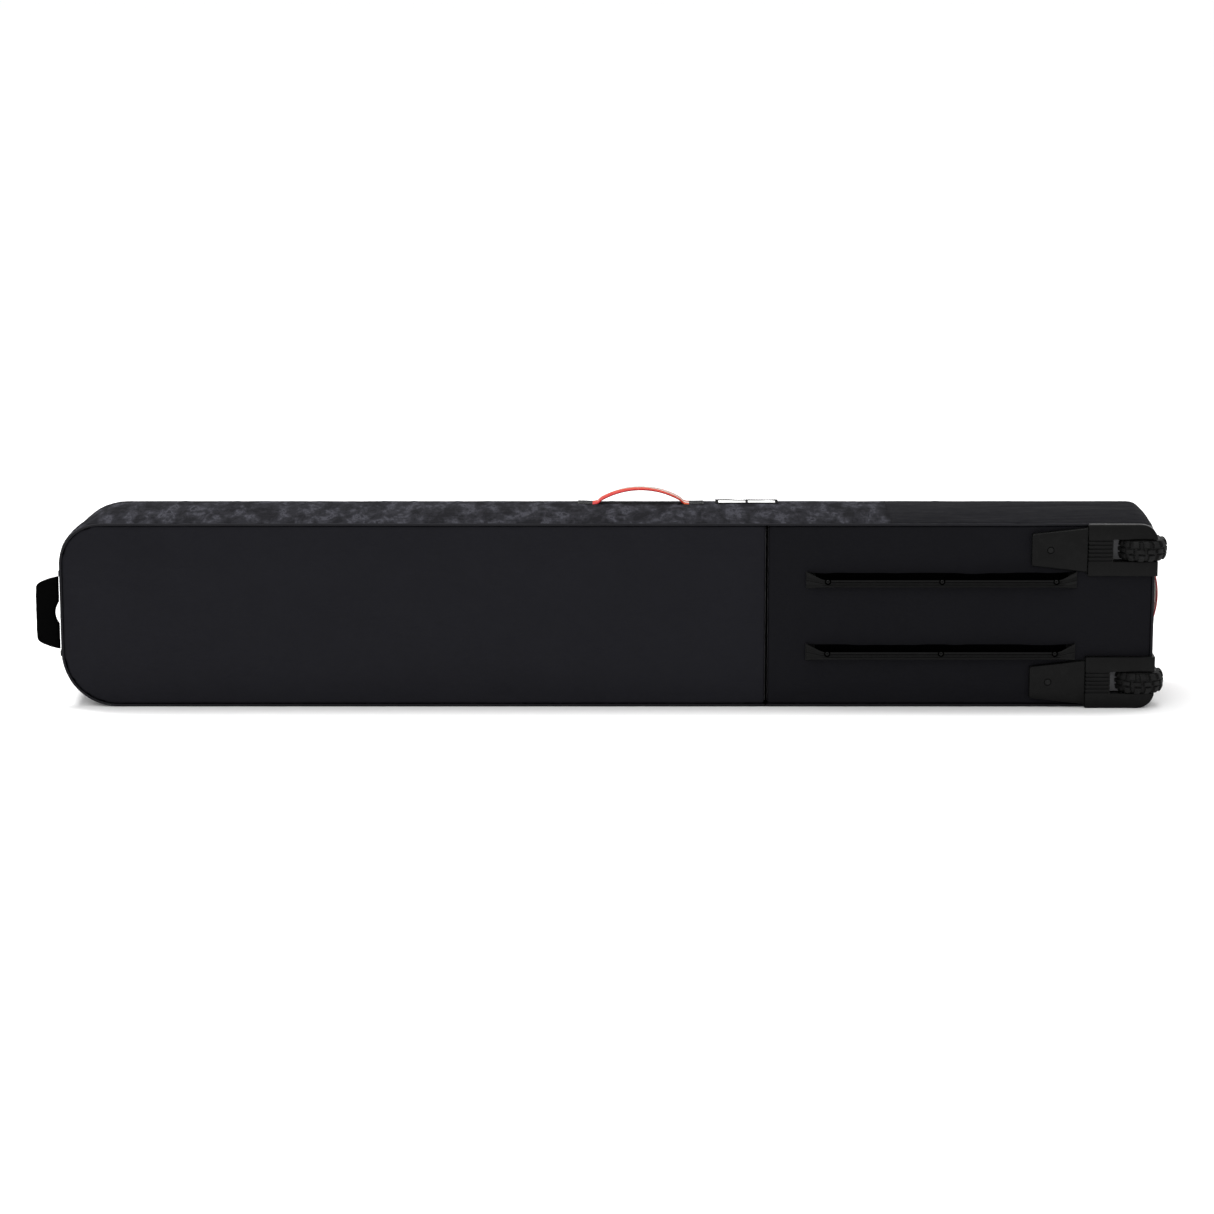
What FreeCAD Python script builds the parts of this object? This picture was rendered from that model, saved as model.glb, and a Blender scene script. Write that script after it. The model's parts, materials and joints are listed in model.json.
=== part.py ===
import FreeCAD, Part
import os
import re
import Sketcher

# A wheeled bag for snowboards, standing on its long narrow side.
# X runs along the bag from the tail (-X) to the wheels (+X). Y runs through its depth from the base
# (-Y) to the lid (+Y). Z is up. The origin is the middle of the face that it rests on.
# Lengths are in millimetres.

DRIVING_SIZES = [
    ("bag_length", 1750, "tail to wheel end, outside"),
    ("bag_height", 300, "width of the base, which stands upright"),
    ("bag_depth", 190, "base to lid, outside"),
    ("tail_radius", 90, "corner radius of the rounded tail"),
    ("end_radius", 25, "corner radius at the wheel end"),
    ("fabric", 1.2, "outer cloth"),
    ("base_board", 1.3, "plastic sheet under the base cloth"),
    ("base_foam", 6, "foam in the base"),
    ("wall_foam", 7, "foam in the side walls"),
    ("lid_foam", 6.5, "foam in the lid"),
    ("lining", 0.8, "lining cloth"),
    ("piping", 3, "width of the piping along the edges"),
    ("border", 13, "width of the front border inside the piping"),
    ("tape", 4.6, "visible width of one zipper tape"),
    ("tape_thick", 1, "thickness of the zipper tape"),
    ("teeth", 1.7, "width of one row of zipper teeth"),
    ("teeth_thick", 2.5, "height of the zipper teeth"),
    ("zip_gap", 0.4, "gap between the two rows of teeth"),
    ("hinge_gap", 0.5, "gap between the border and the lid along the fold"),
    ("hinge_corner", 29, "height at which the zipper ends above the fold"),
    ("fold_seam", 620, "base seam, measured back from the wheel end"),
    ("print_end", 422, "end of the printed side cloth, back from the wheel end"),
    ("rail_length", 432, "skid rail"),
    ("rail_start", 125, "wheel end of the rails, back from the wheel end of the bag"),
    ("rail_inboard", 49.2, "rail centre line in from its wheel's centre line"),
    ("rail_base", 24, "width of a rail where it sits on the base"),
    ("rail_top", 17.6, "width of a rail at its top"),
    ("rail_height", 20, "height of a rail"),
    ("rail_ramp", 22, "length of the ramp at each end of a rail"),
    ("rail_groove", 1.6, "width and depth of the grooves along a rail"),
    ("rail_groove_edge", 4, "plain top of a rail between its ramp and its grooves"),
    ("rail_screw_edge", 34, "end of a rail to its nearest screw"),
    ("screw_shank", 2, "radius of the screw shanks"),
    ("screw_head", 4.5, "radius of the screw heads"),
    ("screw_head_thick", 2.5, "thickness of the screw heads"),
    ("recess_radius", 5, "radius of the recess over a screw"),
    ("recess_depth", 4, "depth of the recess over a screw"),
    ("nut_radius", 6, "radius of the backing nuts"),
    ("nut_thick", 3, "thickness of the backing nuts"),
    ("housing_width", 84, "wheel housing across the base"),
    ("housing_proud", 12, "housing above the base cloth"),
    ("housing_length", 109, "wide part of the housing along the base"),
    ("flange_thick", 3, "housing where it wraps the end wall"),
    ("flange_lap", 16, "housing wrap past the floor of the wheel well"),
    ("tongue_length", 89, "narrow tongue of the housing"),
    ("tongue_tip", 52, "width of the tongue at its tip"),
    ("tongue_root", 72, "width of the tongue at the wide part"),
    ("tongue_proud", 9, "height of the tongue"),
    ("tongue_screw", 30, "tip of the tongue to its screw"),
    ("rib_pitch", 6.4, "distance between the grooves of the ribbed field"),
    ("rib_groove", 2.4, "width of a groove"),
    ("rib_span", 52, "length of a groove"),
    ("rib_edge", 2, "plain strip between the grooves and the wheel well"),
    ("boss_gap", 0.3, "gap between an axle boss and the wheel"),
    ("rib_depth", 2.5, "depth of a groove"),
    ("well_width", 36, "wheel well across"),
    ("well_wall", 8, "side wall of the wheel well"),
    ("well_floor", 3, "floor of the wheel well"),
    ("wheel_radius", 40, "tyre outside"),
    ("wheel_width", 32, "tyre and hub"),
    ("wheel_inboard", 20, "axle back from the wheel end of the bag"),
    ("axle_sunk", 15, "axle below the base cloth"),
    ("wheel_clearance", 6, "tyre to the floor of the well"),
    ("well_space", 9, "tyre to the front of the well"),
    ("tyre_thick", 12, "tyre tread outside to the hub"),
    ("lug_depth", 3.5, "depth of the tread grooves"),
    ("lug_gap", 5, "width of the tread grooves"),
    ("axle_radius", 4, "wheel bolt"),
    ("bolt_head", 6.5, "radius of the wheel bolt's head and nut"),
    ("bolt_head_thick", 5, "thickness of the wheel bolt's head and nut"),
    ("hub_bore_gap", 1, "gap between the hub and the spacer"),
    ("hub_boss", 4, "wall of the hub around a bearing"),
    ("hub_rim", 5, "hub rim under the tyre"),
    ("hub_web", 12.8, "disc between the hub's boss and its rim"),
    ("bearing_radius", 11, "ball bearing outside"),
    ("bearing_width", 7, "ball bearing"),
    ("spacer_radius", 6, "sleeve between the bearings"),
    ("running_gap", 0.05, "axle to bearing"),
    ("webbing_wide", 30, "webbing of the two haul handles"),
    ("webbing_thick", 2.5, "webbing of the two haul handles"),
    ("handle_span", 157, "haul handle, sewn end to sewn end"),
    ("handle_rise", 27, "haul handle above the cloth"),
    ("handle_patch", 24, "sewn end of a haul handle"),
    ("handle_tuck", 4, "how far a sewn end reaches under the arch"),
    ("handle_joint_rise", 9.5, "height of the line that a haul handle swings on"),
    ("side_handle_place", 55, "side handle, along the bag"),
    ("side_handle_depth", 70, "side handle, through the depth"),
    ("end_handle_depth", 73, "end handle, through the depth"),
    ("part_gap", 0.5, "gap where a swinging handle leaves its sewn end"),
    ("tail_grip_reach", 42, "tail handle out from the cloth"),
    ("tail_grip_length", 120, "tail handle"),
    ("tail_grip_thick", 6, "tail handle"),
    ("tail_grip_depth", -72, "tail handle, through the depth"),
    ("tail_grip_gap", 3.4, "tail handle's swing line out from the cloth"),
    ("tail_slot_wide", 6, "finger slot between the tail handle and the bag"),
    ("tail_slot_long", 36, "finger slot between the tail handle and the bag"),
    ("tail_patch", 9.5, "sewn end of the tail handle"),
    ("label_length", 102, "side label"),
    ("label_height", 28, "side label"),
    ("label_thick", 0.8, "side label"),
    ("label_place", 228, "side label's centre along the bag"),
    ("label_depth", 77, "side label's centre through the depth"),
    ("strap_wide", 38, "inner strap"),
    ("strap_thick", 1.5, "inner strap"),
    ("strap_tail_place", -350, "inner strap near the tail"),
    ("strap_end_place", 350, "inner strap near the wheels"),
    ("buckle_wide", 44, "buckle"),
    ("buckle_wall", 4, "side wall of a socket"),
    ("buckle_thick", 9, "buckle"),
    ("socket_long", 28, "buckle socket"),
    ("plug_long", 16, "buckle plug outside its socket"),
    ("prong_long", 20, "buckle plug's prongs"),
    ("prong_thick", 4, "buckle plug's prongs"),
    ("prong_wide", 9, "each prong"),
    ("slide_gap", 0.5, "gap around what slides"),
    ("slider_long", 20, "zipper slider"),
    ("slider_wide", 12, "zipper slider"),
    ("slider_thick", 3, "zipper slider"),
    ("slider_apart", 1, "from the resting place to the near end of each slider"),
    ("ear_thick", 1.5, "ears that hold a slider's cross pin"),
    ("ear_half", 1.6, "half the height of an ear around its pin"),
    ("slider_gap", 0.4, "slider above the teeth"),
    ("slider_rest", 261, "where the two sliders meet"),
    ("pull_long", 40, "zipper pull"),
    ("pull_wide", 6, "zipper pull"),
    ("pull_thick", 1.6, "zipper pull"),
    ("pull_pin", 0.8, "radius of the slider's cross pin"),
    ("pull_eye", 2.2, "radius of the pull's eye"),
    ("pull_rise", 2.6, "cross pin above the slider"),
]

RAIL_SCREWS = 3
TREAD_GROOVES = 14
RIB_GROOVES = 6
CLEAR = 20          # how far cutting tools reach past what they cut
SINK = 1            # how far fused pieces reach into each other

doc = FreeCAD.newDocument("snowboard_bag")
sheet = doc.addObject("Spreadsheet::Sheet", "Sizes")
for row, (alias, value, meaning) in enumerate(DRIVING_SIZES, start=1):
    sheet.set(f"A{row}", meaning)
    sheet.set(f"B{row}", str(value))
    sheet.setAlias(f"B{row}", alias)
doc.recompute()

ALIASES = {alias for alias, value, meaning in DRIVING_SIZES}
nodes = []


def bound(text):
    """The expression with every size's name pointed at its cell."""
    return re.sub(r"[a-z_]+", lambda word: "Sizes." + word.group() if word.group() in ALIASES
                  else word.group(), text)


def tie(thing, path, text):
    thing.setExpression(path, bound(text))


def place(thing, x, y, z):
    """Ties an object's position to the sizes."""
    tie(thing, "Placement.Base.x", x)
    tie(thing, "Placement.Base.y", y)
    tie(thing, "Placement.Base.z", z)


def node(label, thing):
    """Marks an object as a sub-part and gives it its name."""
    thing.Label = label
    nodes.append(thing)
    return thing


# ---------------------------------------------------------------- primitives and booleans

def box(name, x_span, y_span, z_span):
    """A block between two places along each axis."""
    solid = doc.addObject("Part::Box", name)
    tie(solid, "Length", f"({x_span[1]}) - ({x_span[0]})")
    tie(solid, "Width", f"({y_span[1]}) - ({y_span[0]})")
    tie(solid, "Height", f"({z_span[1]}) - ({z_span[0]})")
    place(solid, x_span[0], y_span[0], z_span[0])
    return solid


TURN_TO_AXIS = {
    "X": FreeCAD.Rotation(FreeCAD.Vector(0, 1, 0), 90),
    "Y": FreeCAD.Rotation(FreeCAD.Vector(1, 0, 0), -90),
    "Z": FreeCAD.Rotation(),
}


def rod(name, axis, start, radius, length):
    """A round bar that runs from start along +axis."""
    solid = doc.addObject("Part::Cylinder", name)
    solid.Placement = FreeCAD.Placement(FreeCAD.Vector(), TURN_TO_AXIS[axis])
    tie(solid, "Radius", radius)
    tie(solid, "Height", length)
    place(solid, *start)
    return solid


def cut(name, base, tool):
    solid = doc.addObject("Part::Cut", name)
    solid.Base = base
    solid.Tool = tool
    return solid


def common(name, base, tool):
    solid = doc.addObject("Part::Common", name)
    solid.Base = base
    solid.Tool = tool
    return solid


def fuse(name, pieces):
    solid = doc.addObject("Part::MultiFuse", name)
    solid.Shapes = pieces
    return solid


def group(name, pieces):
    """Separate solids that make one sub-part."""
    solids = doc.addObject("Part::Compound", name)
    solids.Links = pieces
    return solids


# ---------------------------------------------------------------- sketched bodies

def origin_plane(body, role):
    return next(feature for feature in body.Origin.OriginFeatures if feature.Role == role)


def new_sketch(body, name, role, corner):
    """A sketch on one of the body's own planes, shifted by three tied distances."""
    sketch = body.newObject("Sketcher::SketchObject", name)
    sketch.AttachmentSupport = [(origin_plane(body, role), "")]
    sketch.MapMode = "FlatFace"
    for letter, distance in zip("xyz", corner):
        tie(sketch, "AttachmentOffset.Base." + letter, distance)
    return sketch


def draw_rectangle(sketch, width, height):
    """A rectangle from the sketch's own origin."""
    corners = [(0, 0), (10, 0), (10, 10), (0, 10)]
    for first, second in zip(corners, corners[1:] + corners[:1]):
        sketch.addGeometry(Part.LineSegment(FreeCAD.Vector(*first, 0), FreeCAD.Vector(*second, 0)))
    for side in range(4):
        sketch.addConstraint(Sketcher.Constraint("Coincident", side, 2, (side + 1) % 4, 1))
    for side, rule in enumerate(["Horizontal", "Vertical", "Horizontal", "Vertical"]):
        sketch.addConstraint(Sketcher.Constraint(rule, side))
    sketch.addConstraint(Sketcher.Constraint("Coincident", 0, 1, -1, 1))
    across = sketch.addConstraint(Sketcher.Constraint("DistanceX", 0, 1, 0, 2, 10))
    upward = sketch.addConstraint(Sketcher.Constraint("DistanceY", 1, 1, 1, 2, 10))
    tie(sketch, f"Constraints[{across}]", width)
    tie(sketch, f"Constraints[{upward}]", height)


def value_of(text):
    """The number that an expression of sizes has now."""
    numbers = re.sub(r"[a-z_]+", lambda word: str(float(sheet.get(word.group()))), text)
    return FreeCAD.Units.Quantity(numbers).Value


def draw_polygon(sketch, points):
    """A closed outline. Each point's two distances from the sketch's origin are tied and positive."""
    start = [FreeCAD.Vector(value_of(across), value_of(upward), 0) for across, upward in points]
    for first, second in zip(start, start[1:] + start[:1]):
        sketch.addGeometry(Part.LineSegment(first, second))
    count = len(points)
    for side in range(count):
        sketch.addConstraint(Sketcher.Constraint("Coincident", side, 2, (side + 1) % count, 1))
    for side, (across, upward) in enumerate(points):
        for rule, distance, value in (("DistanceX", across, start[side].x),
                                      ("DistanceY", upward, start[side].y)):
            place_in_list = sketch.addConstraint(Sketcher.Constraint(rule, -1, 1, side, 1, value))
            tie(sketch, f"Constraints[{place_in_list}]", distance)



def pad(body, sketch, length, flip=False):
    feature = body.newObject("PartDesign::Pad", body.Name + "_pad")
    feature.Profile = sketch
    tie(feature, "Length", length)
    feature.Reversed = flip
    return feature


def fillet_upright(body, base, radius, keep):
    """Rounds the edges along the depth whose middle passes the test."""
    doc.recompute()
    picked = []
    for index, edge in enumerate(base.Shape.Edges, start=1):
        lines_up = abs(edge.tangentAt(edge.FirstParameter).y) > 0.99
        if lines_up and keep(edge.CenterOfMass):
            picked.append(f"Edge{index}")
    feature = body.newObject("PartDesign::Fillet", body.Name + "_round")
    feature.Base = (base, picked)
    tie(feature, "Radius", radius)
    return feature


def panel(name, inset, y_low, y_high, end_extra="0"):
    """A flat panel of the bag's own outline, drawn in by inset, between two depths."""
    body = doc.addObject("PartDesign::Body", name)
    corner = (f"-bag_length / 2 + ({inset})", inset, f"-({y_low})")
    sketch = new_sketch(body, name + "_outline", "XZ_Plane", corner)
    draw_rectangle(sketch, f"bag_length - 2 * ({inset}) + {end_extra}", f"bag_height - 2 * ({inset})")
    block = pad(body, sketch, f"({y_high}) - ({y_low})", flip=True)
    tail = fillet_upright(body, block, f"tail_radius - ({inset})", lambda middle: middle.x < 0)
    fillet_upright(body, tail, f"max(end_radius + {end_extra} - ({inset}); 2)",
                   lambda middle: middle.x > 0)
    return body


def ring(name, outer, inner, y_low, y_high):
    """A band that follows the bag's outline between two insets."""
    return cut(name, panel(name + "_outside", outer, y_low, y_high),
               panel(name + "_inside", inner, y_low, y_high))


# ---------------------------------------------------------------- places worked out from the sizes

TAIL = "-bag_length / 2"
END = "bag_length / 2"
BASE = "-bag_depth / 2"
FACE = "bag_depth / 2"
BOARD_TOP = f"{BASE} + fabric + base_board"
FOAM_TOP = f"{BOARD_TOP} + base_foam"
LINING_TOP = f"{FOAM_TOP} + lining"
FOAM_INSET = "fabric"
LINING_INSET = "fabric + wall_foam"
WALL = "fabric + wall_foam + lining"
WALL_LOW = f"{BASE} + piping"
WALL_HIGH = f"{FACE} - piping"
TAPE_INSET = "piping + border"
TEETH_INSET = f"{TAPE_INSET} + tape"
LID_TEETH_INSET = f"{TEETH_INSET} + teeth + zip_gap"
LID_TAPE_INSET = f"{LID_TEETH_INSET} + teeth"
LID_INSET = f"{LID_TAPE_INSET} + tape"
LID_LOW = f"{TAPE_INSET} + hinge_gap"
STRAIGHT_TAIL = f"{TAIL} + tail_radius"
STRAIGHT_END = f"{END} - end_radius"
PRINT_EDGE = f"{END} - print_end"
FOLD = f"{END} - fold_seam"
MIDDLE = "bag_height / 2"
AXLE_X = f"{END} - wheel_inboard"
AXLE_Y = f"{BASE} + axle_sunk"
WELL_FRONT = f"{AXLE_X} - wheel_radius - well_space"
WELL_BOTTOM = f"{AXLE_Y} + wheel_radius + wheel_clearance"
FAR = f"{END} + {CLEAR}"
SIDES = {"upper": "bag_height - housing_width / 2", "lower": "housing_width / 2"}
RAIL_SIDES = {"upper": f"{SIDES['upper']} - rail_inboard", "lower": f"{SIDES['lower']} + rail_inboard"}
RAIL_END = f"{END} - rail_start"
RAIL_BEGIN = f"{RAIL_END} - rail_length"
TONGUE_END = f"{END} - housing_length"
TONGUE_BEGIN = f"{TONGUE_END} - tongue_length"

# ---------------------------------------------------------------- cutting tools shared by the layers

well_spaces = []
for side, centre in SIDES.items():
    half = "well_width / 2 + well_wall"
    well_spaces.append(box(side + "_well_space", (f"{WELL_FRONT} - well_wall", FAR),
                           (f"{BASE} - {CLEAR}", f"{WELL_BOTTOM} + well_floor"),
                           (f"{centre} - ({half})", f"{centre} + {half}")))
wells = group("well_spaces", well_spaces)

# Screws: place along the bag, height, and whether they go through the base or the end wall.
base_screws = []
for side, centre in RAIL_SIDES.items():
    for number in range(RAIL_SCREWS):
        step = f"(rail_length - 2 * rail_screw_edge) * {number} / {RAIL_SCREWS - 1}"
        along = f"{RAIL_BEGIN} + rail_screw_edge + {step}"
        base_screws.append(("rail", f"{side}_{number}", along, centre))
for side, centre in SIDES.items():
    base_screws.append(("housing", side + "_tongue", f"{TONGUE_BEGIN} + tongue_screw", centre))

SCREW_PROUD = {"rail": "rail_height", "housing": "tongue_proud"}
FLANGE_END = f"{WELL_BOTTOM} + well_floor + flange_lap"
FLANGE_SCREW_Y = f"{FLANGE_END} - flange_lap / 2"

screws = {"rail": [], "housing": []}
nuts = []
shank_holes = []
nut_pockets = []
head_recesses = {"rail": [], "housing": []}
for kind, tag, along, height in base_screws:
    seat = f"{BASE} - {SCREW_PROUD[kind]} + recess_depth"
    nut_low = BOARD_TOP
    shank = rod(f"shank_{tag}", "Y", (along, seat, height), "screw_shank",
                f"({nut_low}) + nut_thick - ({seat})")
    head = rod(f"head_{tag}", "Y", (along, f"{seat} - screw_head_thick", height), "screw_head",
               "screw_head_thick")
    screws[kind].append(fuse(f"screw_{tag}", [head, shank]))
    shank_holes.append(rod(f"shank_hole_{tag}", "Y", (along, seat, height), "screw_shank",
                           f"({nut_low}) - ({seat})"))
    nut_round = rod(f"nut_round_{tag}", "Y", (along, nut_low, height), "nut_radius", "nut_thick")
    nut_bore = rod(f"nut_bore_{tag}", "Y", (along, nut_low, height), "screw_shank", "nut_thick")
    nuts.append(cut(f"nut_{tag}", nut_round, nut_bore))
    nut_pockets.append(rod(f"nut_pocket_{tag}", "Y", (along, nut_low, height), "nut_radius",
                           "nut_thick"))
    recess = rod(f"recess_{tag}", "Y", (along, f"{seat} - recess_depth - 1", height),
                 "recess_radius", "recess_depth + 1")
    head_recesses[kind].append(recess)
base_holes = group("base_screw_holes", shank_holes)
base_pockets = group("base_nut_pockets", nut_pockets)

flange_holes = []
flange_pockets = []
for side, centre in SIDES.items():
    start = f"{END} - fabric - nut_thick"
    head = rod(f"flange_head_{side}", "X", (f"{END} + flange_thick", FLANGE_SCREW_Y, centre),
               "screw_head", "screw_head_thick")
    shank = rod(f"flange_shank_{side}", "X", (start, FLANGE_SCREW_Y, centre), "screw_shank",
                "fabric + nut_thick + flange_thick")
    screws["housing"].append(fuse(f"flange_screw_{side}", [head, shank]))
    flange_holes.append(rod(f"flange_hole_{side}", "X", (start, FLANGE_SCREW_Y, centre),
                            "screw_shank", f"fabric + nut_thick + flange_thick"))
    nut_round = rod(f"flange_nut_{side}", "X", (start, FLANGE_SCREW_Y, centre), "nut_radius",
                    "nut_thick")
    nut_bore = rod(f"flange_nut_bore_{side}", "X", (start, FLANGE_SCREW_Y, centre), "screw_shank",
                   "nut_thick")
    nuts.append(cut(f"flange_nut_ring_{side}", nut_round, nut_bore))
    flange_pockets.append(rod(f"flange_pocket_{side}", "X", (start, FLANGE_SCREW_Y, centre),
                              "nut_radius", "nut_thick"))
end_holes = group("end_screw_holes", flange_holes)
end_pockets = group("end_nut_pockets", flange_pockets)

node("skid_rail_screws", group("rail_screw_group", screws["rail"]))
node("housing_screws", group("housing_screw_group", screws["housing"]))
node("backing_nuts", group("nut_group", nuts))

# ---------------------------------------------------------------- base: cloth, board, foam, lining

cloth = cut("base_cloth_open", cut("base_cloth_wells", panel("base_cloth", "piping", BASE,
                                                             f"{BASE} + fabric"), wells), base_holes)
tail_part = box("tail_cloth_part", (f"{TAIL} - {CLEAR}", FOLD), (f"{BASE} - {CLEAR}", FACE),
                (f"-{CLEAR}", f"bag_height + {CLEAR}"))
end_part = box("end_cloth_part", (FOLD, FAR), (f"{BASE} - {CLEAR}", FACE),
               (f"-{CLEAR}", f"bag_height + {CLEAR}"))
node("base_fabric_tail", common("base_tail_cloth", cloth, tail_part))
node("base_fabric_wheel_end", common("base_end_cloth", cloth, end_part))
board = panel("board_sheet", "piping", f"{BASE} + fabric", BOARD_TOP)
node("base_board", cut("board_open", cut("board_wells", board, wells), base_holes))
foam_sheet = panel("base_foam_sheet", WALL, BOARD_TOP, FOAM_TOP)
node("base_foam", cut("base_foam_open", cut("base_foam_wells", foam_sheet, wells), base_pockets))
lining_sheet = panel("base_lining_sheet", WALL, FOAM_TOP, LINING_TOP)
node("base_lining", cut("base_lining_open", lining_sheet, wells))

# ---------------------------------------------------------------- side walls

WHOLE_Y = (f"{BASE} - {CLEAR}", f"{FACE} + {CLEAR}")
UPPER_Z = (MIDDLE, f"bag_height + {CLEAR}")
LOWER_Z = (f"-{CLEAR}", MIDDLE)
WHOLE_Z = (f"-{CLEAR}", f"bag_height + {CLEAR}")


def wall_part(name, band, x_span, z_span):
    """The stretch of a wall layer that lies in one block of space."""
    return common(name, band, box(name + "_space", x_span, WHOLE_Y, z_span))


wall_cloth = cut("wall_cloth_open", ring("wall_cloth", "0", "fabric", WALL_LOW, WALL_HIGH), wells)
for side, z_span in (("upper", UPPER_Z), ("lower", LOWER_Z)):
    printed = wall_part(f"{side}_printed", wall_cloth, (STRAIGHT_TAIL, PRINT_EDGE), z_span)
    plain = wall_part(f"{side}_plain", wall_cloth, (PRINT_EDGE, STRAIGHT_END), z_span)
    node(f"{side}_wall_fabric_printed", printed)
    node(f"{side}_wall_fabric_plain", plain)
node("tail_wall_fabric", wall_part("tail_cloth", wall_cloth, (f"{TAIL} - {CLEAR}", STRAIGHT_TAIL),
                                   WHOLE_Z))
end_cloth = wall_part("end_cloth", wall_cloth, (STRAIGHT_END, FAR), WHOLE_Z)
node("end_wall_fabric", cut("end_cloth_open", end_cloth, end_holes))

wall_foam = cut("wall_foam_open", ring("wall_foam_band", FOAM_INSET, LINING_INSET, WALL_LOW,
                                       WALL_HIGH), wells)
STRAIGHT = (STRAIGHT_TAIL, STRAIGHT_END)
node("upper_wall_foam", wall_part("upper_foam", wall_foam, STRAIGHT, UPPER_Z))
node("lower_wall_foam", wall_part("lower_foam", wall_foam, STRAIGHT, LOWER_Z))
node("tail_wall_foam", wall_part("tail_foam", wall_foam, (f"{TAIL} - {CLEAR}", STRAIGHT_TAIL),
                                 WHOLE_Z))
end_foam = wall_part("end_foam", wall_foam, (STRAIGHT_END, FAR), WHOLE_Z)
node("end_wall_foam", cut("end_foam_open", end_foam, end_pockets))
wall_lining = ring("wall_lining", LINING_INSET, WALL, WALL_LOW, WALL_HIGH)
node("side_lining", cut("wall_lining_open", wall_lining, wells))

base_edge = ring("base_edge", "0", "piping", BASE, WALL_LOW)
node("piping_base", cut("base_edge_open", base_edge, wells))
node("piping_front", ring("front_edge", "0", "piping", WALL_HIGH, FACE))
node("front_border", ring("front_band", "piping", TAPE_INSET, WALL_HIGH, FACE))

# ---------------------------------------------------------------- zipper and lid

hinge_zone = box("hinge_zone", (STRAIGHT_TAIL, FAR), WHOLE_Y, (f"-{CLEAR}", "hinge_corner"))
TAPE_Y = (f"{FACE} - fabric - tape_thick", f"{FACE} - fabric")
TEETH_Y = (f"{FACE} - teeth_thick", FACE)


def zipper_half(tape_name, teeth_name, tape_insets, teeth_insets):
    tape = ring(tape_name + "_band", *tape_insets, *TAPE_Y)
    teeth = ring(teeth_name + "_band", *teeth_insets, *TEETH_Y)
    node(tape_name, cut(tape_name + "_open", tape, hinge_zone))
    node(teeth_name, cut(teeth_name + "_open", teeth, hinge_zone))


zipper_half("zipper_tape_body", "zipper_teeth_body", (TAPE_INSET, TEETH_INSET),
            (TEETH_INSET, f"{TEETH_INSET} + teeth"))
zipper_half("zipper_tape_lid", "zipper_teeth_lid", (LID_TAPE_INSET, LID_INSET),
            (LID_TEETH_INSET, LID_TAPE_INSET))


def lid_layer(name, y_low, y_high):
    """A layer of the lid, carried down to the fold that it opens on."""
    sheet_part = panel(name + "_sheet", LID_INSET, y_low, y_high)
    flap = box(name + "_flap", (f"{STRAIGHT_TAIL} + hinge_gap", f"{END} - ({LID_INSET})"),
               (y_low, y_high), (LID_LOW, "tail_radius"))
    return node(name, fuse(name + "_whole", [sheet_part, flap]))


lid_layer("lid_fabric", f"{FACE} - fabric", FACE)
lid_layer("lid_foam_pad", f"{FACE} - fabric - lid_foam", f"{FACE} - fabric")
lid_layer("lid_lining", f"{FACE} - fabric - lid_foam - lining", f"{FACE} - fabric - lid_foam")

SLIDER_Y = f"{FACE} + slider_gap"
SLIDER_TOP = f"{SLIDER_Y} + slider_thick"
PIN_Y = f"{SLIDER_TOP} + pull_rise"
ZIP_Z = f"bag_height - ({TEETH_INSET} + teeth + zip_gap / 2)"
SLIDER_SHIFTS = {"tail": "-slider_long / 2 - slider_apart", "wheel_end": "slider_long / 2 + slider_apart"}
for end, shift in SLIDER_SHIFTS.items():
    centre = f"slider_rest + {shift}"
    plate = box(f"{end}_slider_plate", (f"{centre} - slider_long / 2", f"{centre} + slider_long / 2"),
                (SLIDER_Y, SLIDER_TOP), (f"{ZIP_Z} - slider_wide / 2", f"{ZIP_Z} + slider_wide / 2"))
    ears = []
    for number, offset in enumerate(("-pull_wide / 2 - slide_gap - ear_thick",
                                     "pull_wide / 2 + slide_gap")):
        ears.append(box(f"{end}_ear_{number}", (f"{centre} + {offset}", f"{centre} + {offset} + ear_thick"),
                        (f"{SLIDER_TOP} - {SINK}", f"{PIN_Y} + ear_half"),
                        (f"{ZIP_Z} - ear_half", f"{ZIP_Z} + ear_half")))
    pin = rod(f"{end}_slider_pin", "X", (f"{centre} - pull_wide / 2 - slide_gap - {SINK}", PIN_Y, ZIP_Z),
              "pull_pin", f"pull_wide + 2 * slide_gap + 2 * {SINK}")
    node(f"{end}_zipper_slider", fuse(f"{end}_slider", [plate, pin] + ears))
    eye = rod(f"{end}_pull_eye", "X", (f"{centre} - pull_wide / 2", PIN_Y, ZIP_Z), "pull_eye",
              "pull_wide")
    tab = box(f"{end}_pull_tab", (f"{centre} - pull_wide / 2", f"{centre} + pull_wide / 2"),
              (f"{PIN_Y} - pull_thick / 2", f"{PIN_Y} + pull_thick / 2"),
              (f"{ZIP_Z} - pull_long", ZIP_Z))
    eye_hole = rod(f"{end}_pull_hole", "X", (f"{centre} - pull_wide / 2 - {SINK}", PIN_Y, ZIP_Z),
                   "pull_pin + running_gap", f"pull_wide + 2 * {SINK}")
    node(f"{end}_zipper_pull", cut(f"{end}_pull", fuse(f"{end}_pull_blank", [eye, tab]), eye_hole))

# ---------------------------------------------------------------- wheel housings and skid rails

cap_sheet = panel("cap_sheet", "0", f"{BASE} - housing_proud", BASE, "flange_thick")
wrap_sheet = panel("wrap_sheet", "0", BASE, FLANGE_END, "flange_thick")
bag_block = panel("bag_block", "0", BASE, FLANGE_END)
wrap = cut("wrap_band", wrap_sheet, bag_block)


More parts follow.
